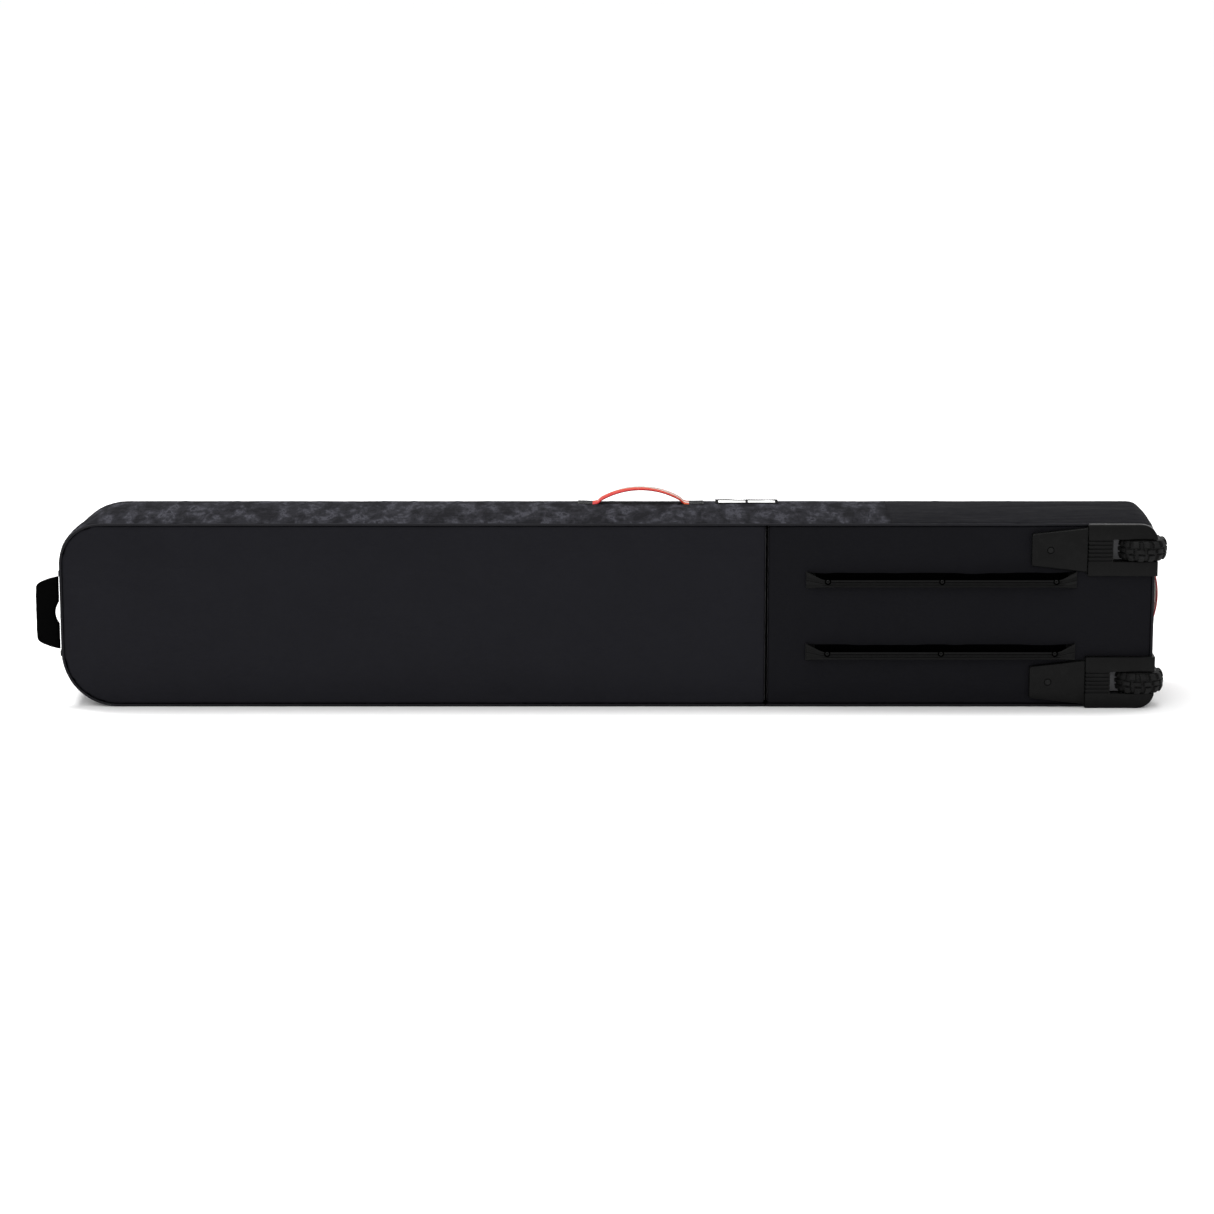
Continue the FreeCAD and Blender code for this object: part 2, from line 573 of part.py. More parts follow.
def tongue(side, centre):
    """The tapered front of a housing, lying on the base cloth."""
    body = doc.addObject("PartDesign::Body", side + "_tongue")
    corner = (f"{TONGUE_BEGIN} - {CLEAR}", f"({centre}) - housing_width", f"-({BASE})")
    sketch = new_sketch(body, side + "_tongue_outline", "XZ_Plane", corner)
    tip = f"{CLEAR}"
    root = f"{CLEAR} + tongue_length + {SINK}"
    draw_polygon(sketch, [(tip, "housing_width - tongue_tip / 2"), (root, "housing_width - tongue_root / 2"),
                          (root, "housing_width + tongue_root / 2"), (tip, "housing_width + tongue_tip / 2")])
    block = pad(body, sketch, "tongue_proud")
    fillet_upright(body, block, "tongue_proud / 2",
                   lambda middle: middle.x < value_of(f"{TONGUE_BEGIN} + {SINK}"))
    return body


def rib_field(side, centre):
    """The grooves that run along a housing in front of its wheel well."""
    grooves = []
    for number in range(RIB_GROOVES):
        low = f"({centre}) + ({number} - {(RIB_GROOVES - 1) / 2}) * rib_pitch - rib_groove / 2"
        grooves.append(box(f"{side}_rib_groove_{number}",
                           (f"{WELL_FRONT} - rib_edge - rib_span", f"{WELL_FRONT} - rib_edge"),
                           (f"{BASE} - housing_proud - {SINK}", f"{BASE} - housing_proud + rib_depth"),
                           (low, f"{low} + rib_groove")))
    return grooves


bolts = []
bolt_nuts = []
for number, (side, centre) in enumerate(SIDES.items()):
    footprint = (f"({centre}) - housing_width / 2", f"({centre}) + housing_width / 2")
    cap = common(side + "_cap", cap_sheet, box(side + "_cap_space", (TONGUE_END, FAR), WHOLE_Y,
                                               footprint))
    flange = common(side + "_flange", wrap, box(side + "_flange_space", (f"{END} - end_radius / 2", FAR),
                                                WHOLE_Y, footprint))
    tub = box(side + "_tub", (f"{WELL_FRONT} - well_wall", END), (BASE, f"{WELL_BOTTOM} + well_floor"),
              (f"({centre}) - well_width / 2 - well_wall", f"({centre}) + well_width / 2 + well_wall"))
    blank = fuse(side + "_housing_blank", [cap, flange, tub, tongue(side, centre)])
    well = box(side + "_well", (WELL_FRONT, FAR), (f"{BASE} - {CLEAR}", WELL_BOTTOM),
               (f"({centre}) - well_width / 2", f"({centre}) + well_width / 2"))
    shell = cut(side + "_housing_shell", blank, well)
    inner = f"({centre}) - well_width / 2"
    outer = f"({centre}) + well_width / 2"
    boss_long = "(well_width - wheel_width) / 2 - boss_gap"
    bosses = [rod(side + "_boss_low", "Z", (AXLE_X, AXLE_Y, inner), "spacer_radius", boss_long),
              rod(side + "_boss_high", "Z", (AXLE_X, AXLE_Y, f"{outer} - ({boss_long})"), "spacer_radius",
                  boss_long)]
    low_face = f"{inner} - well_wall"
    high_face = f"{outer} + well_wall"
    bore = rod(side + "_axle_bore", "Z", (AXLE_X, AXLE_Y, low_face), "axle_radius",
               "well_width + 2 * well_wall")
    low_pocket = rod(side + "_nut_pocket", "Z", (AXLE_X, AXLE_Y, low_face), "bolt_head", "bolt_head_thick")
    high_pocket = rod(side + "_head_pocket", "Z", (AXLE_X, AXLE_Y, f"{high_face} - bolt_head_thick"),
                      "bolt_head", "bolt_head_thick")
    tongue_recess = head_recesses["housing"][number]
    holes = [bore, low_pocket, high_pocket, tongue_recess, flange_holes[number]] + rib_field(side, centre)
    tongue_hole = shank_holes[RAIL_SCREWS * 2 + number]
    tools = group(side + "_housing_holes", holes + [tongue_hole])
    whole = fuse(side + "_housing_bossed", [shell] + bosses)
    node(side + "_wheel_housing", cut(side + "_housing", whole, tools))

    head = rod(side + "_bolt_head", "Z", (AXLE_X, AXLE_Y, f"{high_face} - bolt_head_thick"), "bolt_head",
               "bolt_head_thick")
    shank = rod(side + "_bolt_shank", "Z", (AXLE_X, AXLE_Y, low_face), "axle_radius",
                "well_width + 2 * well_wall - bolt_head_thick")
    bolts.append(fuse(side + "_bolt", [head, shank]))
    nut_round = rod(side + "_axle_nut_round", "Z", (AXLE_X, AXLE_Y, low_face), "bolt_head",
                    "bolt_head_thick")
    nut_bore = rod(side + "_axle_nut_bore", "Z", (AXLE_X, AXLE_Y, low_face), "axle_radius",
                   "bolt_head_thick")
    bolt_nuts.append(cut(side + "_axle_nut", nut_round, nut_bore))
node("wheel_axle_bolts", group("bolt_group", bolts))
node("wheel_axle_nuts", group("bolt_nut_group", bolt_nuts))

for number, (side, centre) in enumerate(RAIL_SIDES.items()):
    body = doc.addObject("PartDesign::Body", side + "_rail_body")
    corner = (f"{RAIL_BEGIN} - {CLEAR}", f"{BASE} - rail_height - {CLEAR}", f"({centre}) - rail_base / 2")
    outline = new_sketch(body, side + "_rail_side", "XY_Plane", corner)
    high = f"{CLEAR}"
    low = f"{CLEAR} + rail_height"
    draw_polygon(outline, [(f"{CLEAR}", low), (f"{CLEAR} + rail_length", low),
                           (f"{CLEAR} + rail_length - rail_ramp", high), (f"{CLEAR} + rail_ramp", high)])
    bar = pad(body, outline, "rail_base")
    doc.recompute()
    lean = body.newObject("PartDesign::Chamfer", side + "_rail_lean")
    top_edges = []
    for index, edge in enumerate(bar.Shape.Edges, start=1):
        on_top = abs(edge.CenterOfMass.y - value_of(f"{BASE} - rail_height")) < 0.01
        if on_top and abs(edge.tangentAt(edge.FirstParameter).x) > 0.99:
            top_edges.append(f"Edge{index}")
    lean.Base = (bar, top_edges)
    tie(lean, "Size", "(rail_base - rail_top) / 2")
    grooves = []
    for step in (-1, 0, 1):
        middle = f"({centre}) + {step} * rail_top / 4"
        grooves.append(box(f"{side}_rail_groove_{step + 1}",
                           (f"{RAIL_BEGIN} + rail_ramp + rail_groove_edge",
                            f"{RAIL_END} - rail_ramp - rail_groove_edge"),
                           (f"{BASE} - rail_height - {SINK}", f"{BASE} - rail_height + rail_groove"),
                           (f"{middle} - rail_groove / 2", f"{middle} + rail_groove / 2")))
    first = number * RAIL_SCREWS
    holes = head_recesses["rail"][first:first + RAIL_SCREWS] + shank_holes[first:first + RAIL_SCREWS]
    tools = group(side + "_rail_holes", grooves + holes)
    node(side + "_skid_rail", cut(side + "_rail", body, tools))

# ---------------------------------------------------------------- wheels


def ring_section(body, name, points):
    """A section of a wheel piece, as radius and distance from the wheel's middle, turned about Z."""
    sketch = new_sketch(body, name, "XZ_Plane", ("0", "-wheel_width", "0"))
    draw_polygon(sketch, [(radius, f"wheel_width + ({along})") for radius, along in points])
    feature = body.newObject("PartDesign::Revolution", name + "_turned")
    feature.Profile = sketch
    feature.ReferenceAxis = (origin_plane(body, "Z_Axis"), [""])
    feature.Angle = 360
    return feature


def make_tyre(side):
    body = doc.addObject("PartDesign::Body", side + "_tyre_body")
    rim = "wheel_radius - tyre_thick"
    shoulder = "wheel_radius - lug_depth"
    edge = "wheel_width / 2"
    round_tyre = ring_section(body, side + "_tyre_section", [
        (rim, f"-{edge}"), (shoulder, f"-{edge}"), ("wheel_radius", f"-{edge} + lug_gap"),
        ("wheel_radius", f"{edge} - lug_gap"), (shoulder, edge), (rim, edge)])
    doc.recompute()
    sketch = new_sketch(body, side + "_tread_outline", "XY_Plane", (shoulder, "-lug_gap / 2", "0"))
    draw_rectangle(sketch, "2 * lug_depth", "lug_gap")
    groove = body.newObject("PartDesign::Pocket", side + "_tread_groove")
    groove.Profile = sketch
    tie(groove, "Length", "2 * wheel_width")
    groove.Midplane = True
    doc.recompute()
    if groove.Shape.Volume >= round_tyre.Shape.Volume:
        raise RuntimeError("the tread groove cuts nothing")
    pattern = body.newObject("PartDesign::PolarPattern", side + "_tread")
    pattern.Originals = [groove]
    pattern.Axis = (origin_plane(body, "Z_Axis"), [""])
    pattern.Angle = 360
    pattern.Occurrences = TREAD_GROOVES
    body.Tip = pattern
    return body


def make_hub(side):
    body = doc.addObject("PartDesign::Body", side + "_hub_body")
    bore = "spacer_radius + hub_bore_gap"
    boss = "bearing_radius + hub_boss"
    rim_in = "wheel_radius - tyre_thick - hub_rim"
    rim_out = "wheel_radius - tyre_thick"
    edge = "wheel_width / 2"
    seat = "wheel_width / 2 - bearing_width"
    web = "hub_web / 2"
    half = [(bore, seat), ("bearing_radius", seat), ("bearing_radius", edge), (boss, edge), (boss, web),
            (rim_in, web), (rim_in, edge), (rim_out, edge)]
    mirrored = [(radius, f"-({along})") for radius, along in reversed(half)]
    ring_section(body, side + "_hub_section", half + mirrored)
    return body


def sleeve(name, outer, length, start_z):
    """A short tube around the axle, in the wheel's own place."""
    round_part = rod(name + "_round", "Z", ("0", "0", start_z), outer, length)
    hole = rod(name + "_hole", "Z", ("0", "0", start_z), "axle_radius + running_gap", length)
    return cut(name, round_part, hole)


for side, centre in SIDES.items():
    edge = "wheel_width / 2"
    bearings = group(side + "_bearing_pair", [
        sleeve(side + "_bearing_low", "bearing_radius", "bearing_width", f"-{edge}"),
        sleeve(side + "_bearing_high", "bearing_radius", "bearing_width", f"{edge} - bearing_width")])
    spacer = sleeve(side + "_spacer_sleeve", "spacer_radius", "wheel_width - 2 * bearing_width",
                    f"-{edge} + bearing_width")
    for label, piece in (("tyre", make_tyre(side)), ("wheel_hub", make_hub(side)),
                         ("wheel_bearings", bearings), ("bearing_spacer", spacer)):
        place(piece, AXLE_X, AXLE_Y, centre)
        node(f"{side}_{label}", piece)

# ---------------------------------------------------------------- handles

ARCH = "(handle_span ^ 2 / 4 + handle_rise ^ 2) / (2 * handle_rise)"
ARCH_LINE = f"({ARCH} - webbing_thick / 2)"
JOINT_HALF = f"sqrt({ARCH_LINE} ^ 2 - ({ARCH} - handle_rise + handle_joint_rise) ^ 2)"


def haul_handle(tag, along, out, wall, middle, depth):
    """A strip of webbing sewn at both ends and arched between them, as a grip and two sewn ends."""
    def block(name, along_span, out_span):
        spans = {along: along_span, out: out_span}
        spans["Y"] = (f"{depth} - webbing_wide / 2", f"{depth} + webbing_wide / 2")
        return box(name, spans["X"], spans["Y"], spans["Z"])

    centre = {along: middle, out: f"{wall} + handle_rise - {ARCH}", "Y": f"{depth} - webbing_wide / 2"}
    start = (centre["X"], centre["Y"], centre["Z"])
    band = cut(tag + "_arch", rod(tag + "_arch_outside", "Y", start, ARCH, "webbing_wide"),
               rod(tag + "_arch_inside", "Y", start, f"{ARCH} - webbing_thick", "webbing_wide"))
    above = (wall, f"{wall} + handle_rise + {CLEAR}")
    grip_space = block(tag + "_grip_space", (f"{middle} - {JOINT_HALF}", f"{middle} + {JOINT_HALF}"), above)
    node(f"{tag}_handle_grip", common(tag + "_grip", band, grip_space))
    ends = []
    for name, sign in (("first", "-"), ("second", "+")):
        near = f"{middle} {sign} ({JOINT_HALF} + part_gap)"
        foot = f"{middle} {sign} handle_span / 2"
        under = f"{middle} {sign} (handle_span / 2 - handle_tuck)"
        far = f"{middle} {sign} (handle_span / 2 + handle_patch)"
        rise_span = (near, foot) if sign == "+" else (foot, near)
        patch_span = (under, far) if sign == "+" else (far, under)
        rising = common(f"{tag}_{name}_rise", band, block(f"{tag}_{name}_space", rise_span, above))
        patch = block(f"{tag}_{name}_patch", patch_span, (wall, f"{wall} + webbing_thick"))
        ends.append(fuse(f"{tag}_{name}_end", [rising, patch]))
    node(f"{tag}_handle_sewn_ends", group(tag + "_sewn_ends", ends))


haul_handle("side", "X", "Z", "bag_height", "side_handle_place", "side_handle_depth")
haul_handle("end", "Z", "X", END, MIDDLE, "end_handle_depth")

grip_body = doc.addObject("PartDesign::Body", "tail_grip_body")
grip_corner = (f"{TAIL} - tail_grip_reach - {CLEAR}", f"{MIDDLE} - tail_grip_length / 2 - {CLEAR}",
               "-(tail_grip_depth + tail_grip_thick / 2)")
grip_outline = new_sketch(grip_body, "tail_grip_outline", "XZ_Plane", grip_corner)
ROOT = f"{CLEAR} + tail_grip_reach - tail_grip_gap"
# Each corner: the share of the reach that is left beyond it, and its distance from the grip's end.
TAIL_GRIP_CORNERS = ((0.45, 5), (0.1, 15), (0, 38))
half_outline = [(ROOT, "0")]
for left_over, from_end in TAIL_GRIP_CORNERS:
    half_outline.append((f"{CLEAR} + tail_grip_reach * {left_over}", f"{from_end}"))
low_half = [(across, f"{CLEAR} + {up}") for across, up in half_outline]
high_half = [(across, f"{CLEAR} + tail_grip_length - {up}") for across, up in reversed(half_outline)]
draw_polygon(grip_outline, low_half + high_half)
pad(grip_body, grip_outline, "tail_grip_thick")
slot = box("tail_finger_slot", (f"{TAIL} - tail_grip_gap - tail_slot_wide", TAIL), WHOLE_Y,
           (f"{MIDDLE} - tail_slot_long / 2", f"{MIDDLE} + tail_slot_long / 2"))
node("tail_handle_grip", cut("tail_grip", grip_body, slot))
patches = []
for name, low in (("low", f"{MIDDLE} - tail_grip_length / 2 - part_gap - tail_patch"),
                  ("high", f"{MIDDLE} + tail_grip_length / 2 + part_gap")):
    patch = box(f"tail_patch_{name}", (f"{TAIL} - tail_grip_gap", STRAIGHT_TAIL),
                ("tail_grip_depth - tail_patch", "tail_grip_depth + tail_patch"),
                (low, f"{low} + tail_patch"))
    patches.append(cut(f"tail_patch_{name}_fitted", patch, bag_block))
node("tail_handle_sewn_ends", group("tail_patches", patches))

node("side_label", box("label_patch", ("label_place - label_length / 2", "label_place + label_length / 2"),
                       ("label_depth - label_height / 2", "label_depth + label_height / 2"),
                       ("bag_height", "bag_height + label_thick")))

# ---------------------------------------------------------------- inner straps and their buckles

STRAP_TOP = f"{LINING_TOP} + strap_thick"
BUCKLE_MIDDLE = f"{STRAP_TOP} + slide_gap + buckle_thick / 2"
straps = []
sockets = []
for end in ("tail", "end"):
    middle = f"strap_{end}_place"
    straps.append(box(f"{end}_strap", (f"{middle} - strap_wide / 2", f"{middle} + strap_wide / 2"),
                      (LINING_TOP, STRAP_TOP), (WALL, f"bag_height - ({WALL})")))
    across = (f"{middle} - buckle_wide / 2", f"{middle} + buckle_wide / 2")
    socket = box(f"{end}_socket_block", across, (STRAP_TOP, f"{STRAP_TOP} + slide_gap + buckle_thick"),
                 (f"{MIDDLE} - socket_long", MIDDLE))
    mouth = box(f"{end}_socket_mouth",
                (f"{middle} - buckle_wide / 2 + buckle_wall", f"{middle} + buckle_wide / 2 - buckle_wall"),
                (f"{BUCKLE_MIDDLE} - prong_thick / 2 - slide_gap",
                 f"{BUCKLE_MIDDLE} + prong_thick / 2 + slide_gap"),
                (f"{MIDDLE} - prong_long - slide_gap", f"{MIDDLE} + {SINK}"))
    sockets.append(cut(f"{end}_socket", socket, mouth))
    head = box(f"{end}_plug_head", across, (f"{STRAP_TOP} + slide_gap",
                                            f"{STRAP_TOP} + slide_gap + buckle_thick"),
               (f"{MIDDLE} + slide_gap", f"{MIDDLE} + slide_gap + plug_long"))
    prongs = []
    for name, edge in (("left", f"{middle} - buckle_wide / 2 + buckle_wall + slide_gap"),
                       ("right", f"{middle} + buckle_wide / 2 - buckle_wall - slide_gap - prong_wide")):
        prongs.append(box(f"{end}_{name}_prong", (edge, f"{edge} + prong_wide"),
                          (f"{BUCKLE_MIDDLE} - prong_thick / 2", f"{BUCKLE_MIDDLE} + prong_thick / 2"),
                          (f"{MIDDLE} - prong_long", f"{MIDDLE} + slide_gap + {SINK}")))
    label = {"tail": "tail_buckle_plug", "end": "wheel_end_buckle_plug"}[end]
    node(label, fuse(f"{end}_plug", [head] + prongs))
node("inner_straps", group("strap_pair", straps))
node("buckle_sockets", group("socket_pair", sockets))

# ---------------------------------------------------------------- checks and files

doc.recompute()
for thing in doc.Objects:
    if {"Invalid", "Error"} & set(thing.State):
        raise RuntimeError(f"{thing.Label} did not rebuild: {thing.State}")
for piece in nodes:
    if piece.Shape.isNull() or not piece.Shape.isValid() or not piece.Shape.Solids:
        raise RuntimeError(f"{piece.Label} is not a valid solid")

os.makedirs("parts", exist_ok=True)
for piece in nodes:
    piece.Shape.exportStep(os.path.join("parts", piece.Label + ".step"))
    print(piece.Label, len(piece.Shape.Solids), round(piece.Shape.Volume))
print(len(nodes), "sub-parts")
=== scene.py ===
"""A wheeled snowboard bag standing on its long narrow side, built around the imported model."""
import json
import math
from contextlib import contextmanager

import bmesh
import bpy
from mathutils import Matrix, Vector, noise


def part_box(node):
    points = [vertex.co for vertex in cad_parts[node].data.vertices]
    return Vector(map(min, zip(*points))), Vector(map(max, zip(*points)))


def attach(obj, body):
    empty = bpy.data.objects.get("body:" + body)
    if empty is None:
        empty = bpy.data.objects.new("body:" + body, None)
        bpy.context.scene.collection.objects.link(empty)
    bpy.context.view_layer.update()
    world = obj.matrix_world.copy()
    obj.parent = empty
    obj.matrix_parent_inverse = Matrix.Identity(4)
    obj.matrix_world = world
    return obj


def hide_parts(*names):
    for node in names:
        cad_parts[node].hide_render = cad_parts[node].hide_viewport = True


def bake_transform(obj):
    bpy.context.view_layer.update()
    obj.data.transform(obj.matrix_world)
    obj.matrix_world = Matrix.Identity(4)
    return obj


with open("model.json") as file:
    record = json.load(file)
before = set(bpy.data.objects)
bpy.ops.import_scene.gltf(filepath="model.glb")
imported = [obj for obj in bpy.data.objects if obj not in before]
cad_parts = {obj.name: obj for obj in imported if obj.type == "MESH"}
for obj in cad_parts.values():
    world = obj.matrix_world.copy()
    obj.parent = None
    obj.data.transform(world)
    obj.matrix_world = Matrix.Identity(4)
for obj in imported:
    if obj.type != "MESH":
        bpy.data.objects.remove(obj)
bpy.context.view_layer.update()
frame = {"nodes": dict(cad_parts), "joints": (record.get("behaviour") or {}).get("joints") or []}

TAU = 2 * math.pi

# ---------------------------------------------------------------- places read from the frame

wall_low, wall_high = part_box("tail_wall_fabric")
end_low, end_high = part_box("end_wall_fabric")
base_low, base_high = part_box("piping_base")
front_low, front_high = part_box("piping_front")
lid_low, lid_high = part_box("lid_fabric")
seam_low, seam_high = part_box("base_fabric_wheel_end")
plain_low, plain_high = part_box("upper_wall_fabric_plain")

TAIL_X = wall_low.x
END_X = end_high.x
BASE_Y = base_low.y
FACE_Y = front_high.y
TOP_Z = wall_high.z
MIDDLE_Z = TOP_Z / 2
TAIL_RADIUS = wall_high.x - wall_low.x
END_RADIUS = end_high.x - end_low.x
FOLD_X = seam_low.x
PRINT_X = plain_low.x
JOINTS = {joint["name"]: joint for joint in frame["joints"]}


# ---------------------------------------------------------------- mesh helpers

def add_object(name, mesh, material=None, smooth=True):
    obj = bpy.data.objects.new(name, mesh)
    bpy.context.scene.collection.objects.link(obj)
    if material:
        mesh.materials.append(material)
    if smooth:
        mesh.polygons.foreach_set("use_smooth", [True] * len(mesh.polygons))
    return obj


def mesh_object(name, points, faces, material=None, smooth=True):
    mesh = bpy.data.meshes.new(name)
    mesh.from_pydata([tuple(point) for point in points], [], faces)
    mesh.validate()
    mesh.update()
    return add_object(name, mesh, material, smooth)


def grid_faces(rows, columns, closed=False):
    """Quads over rows of points; a closed grid joins each row's last point to its first."""
    faces = []
    span = columns if closed else columns - 1
    for row in range(rows - 1):
        for column in range(span):
            after = (column + 1) % columns
            faces.append((row * columns + column, row * columns + after,
                          (row + 1) * columns + after, (row + 1) * columns + column))
    return faces


def end_caps(rows, columns):
    """One face over a closed grid's first ring and one over its last."""
    return [tuple(reversed(range(columns))), tuple((rows - 1) * columns + n for n in range(columns))]


def last_to_first(rows, columns):
    """Quads that join a closed grid's last ring to its first."""
    last = (rows - 1) * columns
    return [(last + n, last + (n + 1) % columns, (n + 1) % columns, n) for n in range(columns)]


def two_sided(rows, columns):
    """Faces of a sheet given as two grids of points, one for each side, with the rim between them."""
    count = rows * columns
    front = grid_faces(rows, columns)
    back = [tuple(corner + count for corner in reversed(face)) for face in front]
    rim = [row * columns for row in range(rows)]
    rim += [(rows - 1) * columns + column for column in range(1, columns)]
    rim += [row * columns + columns - 1 for row in range(rows - 2, -1, -1)]
    rim += list(range(columns - 2, 0, -1))
    sides = [(first, second, second + count, first + count) for first, second in zip(rim, rim[1:] + rim[:1])]
    return front + back + sides


def small_block(base):
    """Faces of a block with three rings of four corners, from the given point on."""
    faces = grid_faces(3, 4, closed=True) + [(0, 3, 2, 1), (8, 9, 10, 11)]
    return [tuple(base + corner for corner in face) for face in faces]


def use_modifier(obj, kind, **settings):
    """Adds a modifier and applies it at once."""
    modifier = obj.modifiers.new(kind, kind)
    for name, value in settings.items():
        setattr(modifier, name, value)
    depsgraph = bpy.context.evaluated_depsgraph_get()
    mesh = bpy.data.meshes.new_from_object(obj.evaluated_get(depsgraph))
    obj.modifiers.clear()
    obj.data = mesh
    return obj


def make_solid(obj, thickness, offset=-1.0):
    return use_modifier(obj, "SOLIDIFY", thickness=thickness, offset=offset, use_even_offset=False)


def cut_away(target, cutter):
    """Takes the cutter's volume out of the target, and removes the cutter."""
    use_modifier(target, "BOOLEAN", operation="DIFFERENCE", solver="EXACT", object=cutter)
    bpy.data.objects.remove(cutter)
    return target


@contextmanager
def editing(obj):
    """Lends an object's mesh for editing, and writes it back."""
    mesh = bmesh.new()
    mesh.from_mesh(obj.data)
    yield mesh
    mesh.to_mesh(obj.data)
    mesh.free()


def outward_normals(obj):
    with editing(obj) as mesh:
        bmesh.ops.recalc_face_normals(mesh, faces=mesh.faces)
    return obj


def dress(obj, material):
    """Makes one material the only one on an object."""
    obj.data.materials.clear()
    obj.data.materials.append(material)
    return obj


def stand_in(obj, body, slot, *nodes):
    """Gives a piece its body and hides the nodes that it replaces; slot is not used."""
    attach(obj, body)
    if nodes:
        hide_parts(*nodes)
    return obj


def join(name, objects):
    """One piece made of several, keeping each one's materials."""
    mesh = bmesh.new()
    materials = []
    for obj in objects:
        part = obj.data
        shift = []
        for material in part.materials:
            if material not in materials:
                materials.append(material)
            shift.append(materials.index(material))
        before = len(mesh.faces)
        mesh.from_mesh(part)
        mesh.faces.ensure_lookup_table()
        for face in mesh.faces[before:]:
            face.material_index = shift[face.material_index] if shift else 0
        bpy.data.objects.remove(obj)
    whole = bpy.data.meshes.new(name)
    mesh.to_mesh(whole)
    mesh.free()
    for material in materials:
        whole.materials.append(material)
    return add_object(name, whole, smooth=False)


def smooth_noise(x, y, z, scale, seed=0.0):
    """A smooth value between -1 and 1 that changes over the given distance."""
    return noise.noise(Vector((x / scale + seed, y / scale, z / scale)))


def ramp_between(value, low, high):
    """0 below low, 1 above high, and an eased step between them."""
    share = min(max((value - low) / (high - low), 0.0), 1.0)
    return share * share * (3 - 2 * share)


# ---------------------------------------------------------------- the bag's outline

def outline(inset=0.0, step=0.012, top_tail=TAIL_RADIUS):
    """Points and outward directions round the bag, seen along its depth, from the middle of the low side.

    Every call with the same step gives the same number of points, so two outlines can be lofted."""
    corners = [(END_X - inset, inset, END_RADIUS, -90), (END_X - inset, TOP_Z - inset, END_RADIUS, 0),
               (TAIL_X + inset, TOP_Z - inset, top_tail, 90), (TAIL_X + inset, inset, TAIL_RADIUS, 180)]
    side_long = (END_X - TAIL_X) - TAIL_RADIUS - END_RADIUS
    counts = [round(side_long / 2 / step), round((TOP_Z - 2 * END_RADIUS) / step), round(side_long / step),
              round((TOP_Z - 2 * TAIL_RADIUS) / step)]
    arcs = []
    for x, z, radius, start in corners:
        round_it = max(radius - inset, 0.002)
        middle_x = x - round_it if x > 0 else x + round_it
        middle_z = z - round_it if z > MIDDLE_Z else z + round_it
        turns = 12 if x < 0 else 7
        arc = []
        for number in range(turns + 1):
            angle = math.radians(start + 90 * number / turns)
            way = (math.cos(angle), math.sin(angle))
            arc.append(((middle_x + round_it * way[0], middle_z + round_it * way[1]), way))
        arcs.append(arc)
    start_point = ((0.0, inset), (0.0, -1.0))
    runs = [(start_point, arcs[0][0], counts[0]), (arcs[0][-1], arcs[1][0], counts[1]),
            (arcs[1][-1], arcs[2][0], counts[2]), (arcs[2][-1], arcs[3][0], counts[3]),
            (arcs[3][-1], start_point, counts[0])]
    points = []
    for index, (first, last, count) in enumerate(runs):
        for number in range(count):
            share = number / count
            point = tuple(a + (b - a) * share for a, b in zip(first[0], last[0]))
            points.append((point, first[1]))
        if index < 4:
            points.extend(arcs[index][:-1])
    return points


# ---------------------------------------------------------------- materials

def new_material(name, color, roughness, **sockets):
    """A plain material; the other sockets are named with underscores for spaces."""
    material = bpy.data.materials.new(name)
    material.use_nodes = True
    shader = material.node_tree.nodes["Principled BSDF"]
    shader.inputs["Base Color"].default_value = (*color, 1)
    shader.inputs["Roughness"].default_value = roughness
    for socket, value in sockets.items():
        shader.inputs[socket.replace("_", " ")].default_value = value
    return material


class Nodes:
    """Shorthand for building one material's node tree."""

    def __init__(self, material):
        self.tree = material.node_tree
        self.shader = self.tree.nodes["Principled BSDF"]
        self.place = self.add("ShaderNodeTexCoord").outputs["Object"]

    def add(self, kind, inputs=None, **settings):
        node = self.tree.nodes.new(kind)
        for name, value in settings.items():
            setattr(node, name, value)
        for name, value in (inputs or {}).items():
            if isinstance(value, bpy.types.NodeSocket):
                self.tree.links.new(value, node.inputs[name])
            else:
                node.inputs[name].default_value = value
        return node

    def noise(self, scale, detail=4.0, roughness=0.6, distortion=0.0, stretch=(1, 1, 1)):
        moved = self.add("ShaderNodeMapping", {"Vector": self.place, "Scale": stretch})
        return self.add("ShaderNodeTexNoise", {"Vector": moved.outputs[0], "Scale": scale, "Detail": detail,
                                               "Roughness": roughness, "Distortion": distortion}).outputs[0]

    def threads(self, pitch, direction):
        """Ridges a thread's pitch apart, across one axis."""
        wave = self.add("ShaderNodeTexWave", {"Vector": self.place, "Scale": math.pi / 10 / pitch,
                                              "Distortion": 0.6, "Detail": 1.0, "Detail Scale": 3.0},
                        bands_direction=direction)
        return wave.outputs["Fac"]

    def math(self, operation, first, second=0.5, third=0.5):
        return self.add("ShaderNodeMath", {0: first, 1: second, 2: third}, operation=operation).outputs[0]

    def mix(self, share, first, second):
        node = self.add("ShaderNodeMix", {0: share, 6: first, 7: second}, data_type="RGBA")
        return node.outputs[2]

    def steps(self, value, stops, hard=False):
        node = self.add("ShaderNodeValToRGB", {"Fac": value})
        ramp = node.color_ramp
        ramp.interpolation = "CONSTANT" if hard else "LINEAR"
        while len(ramp.elements) < len(stops):
            ramp.elements.new(0.5)
        for element, (position, color) in zip(ramp.elements, stops):
            element.position = position
            element.color = (*color, 1)
        return node.outputs["Color"]

    def bump(self, height, distance, strength=1.0, below=None):
        inputs = {"Height": height, "Distance": distance, "Strength": strength}
        if below:
            inputs["Normal"] = below
        return self.add("ShaderNodeBump", inputs).outputs[0]

    def send(self, socket, value):
        self.tree.links.new(value, self.shader.inputs[socket])


def grey(level, blue=1.0):
    return (level, level, level * blue)


def scaled(color, factor):
    return tuple(channel * factor for channel in color)


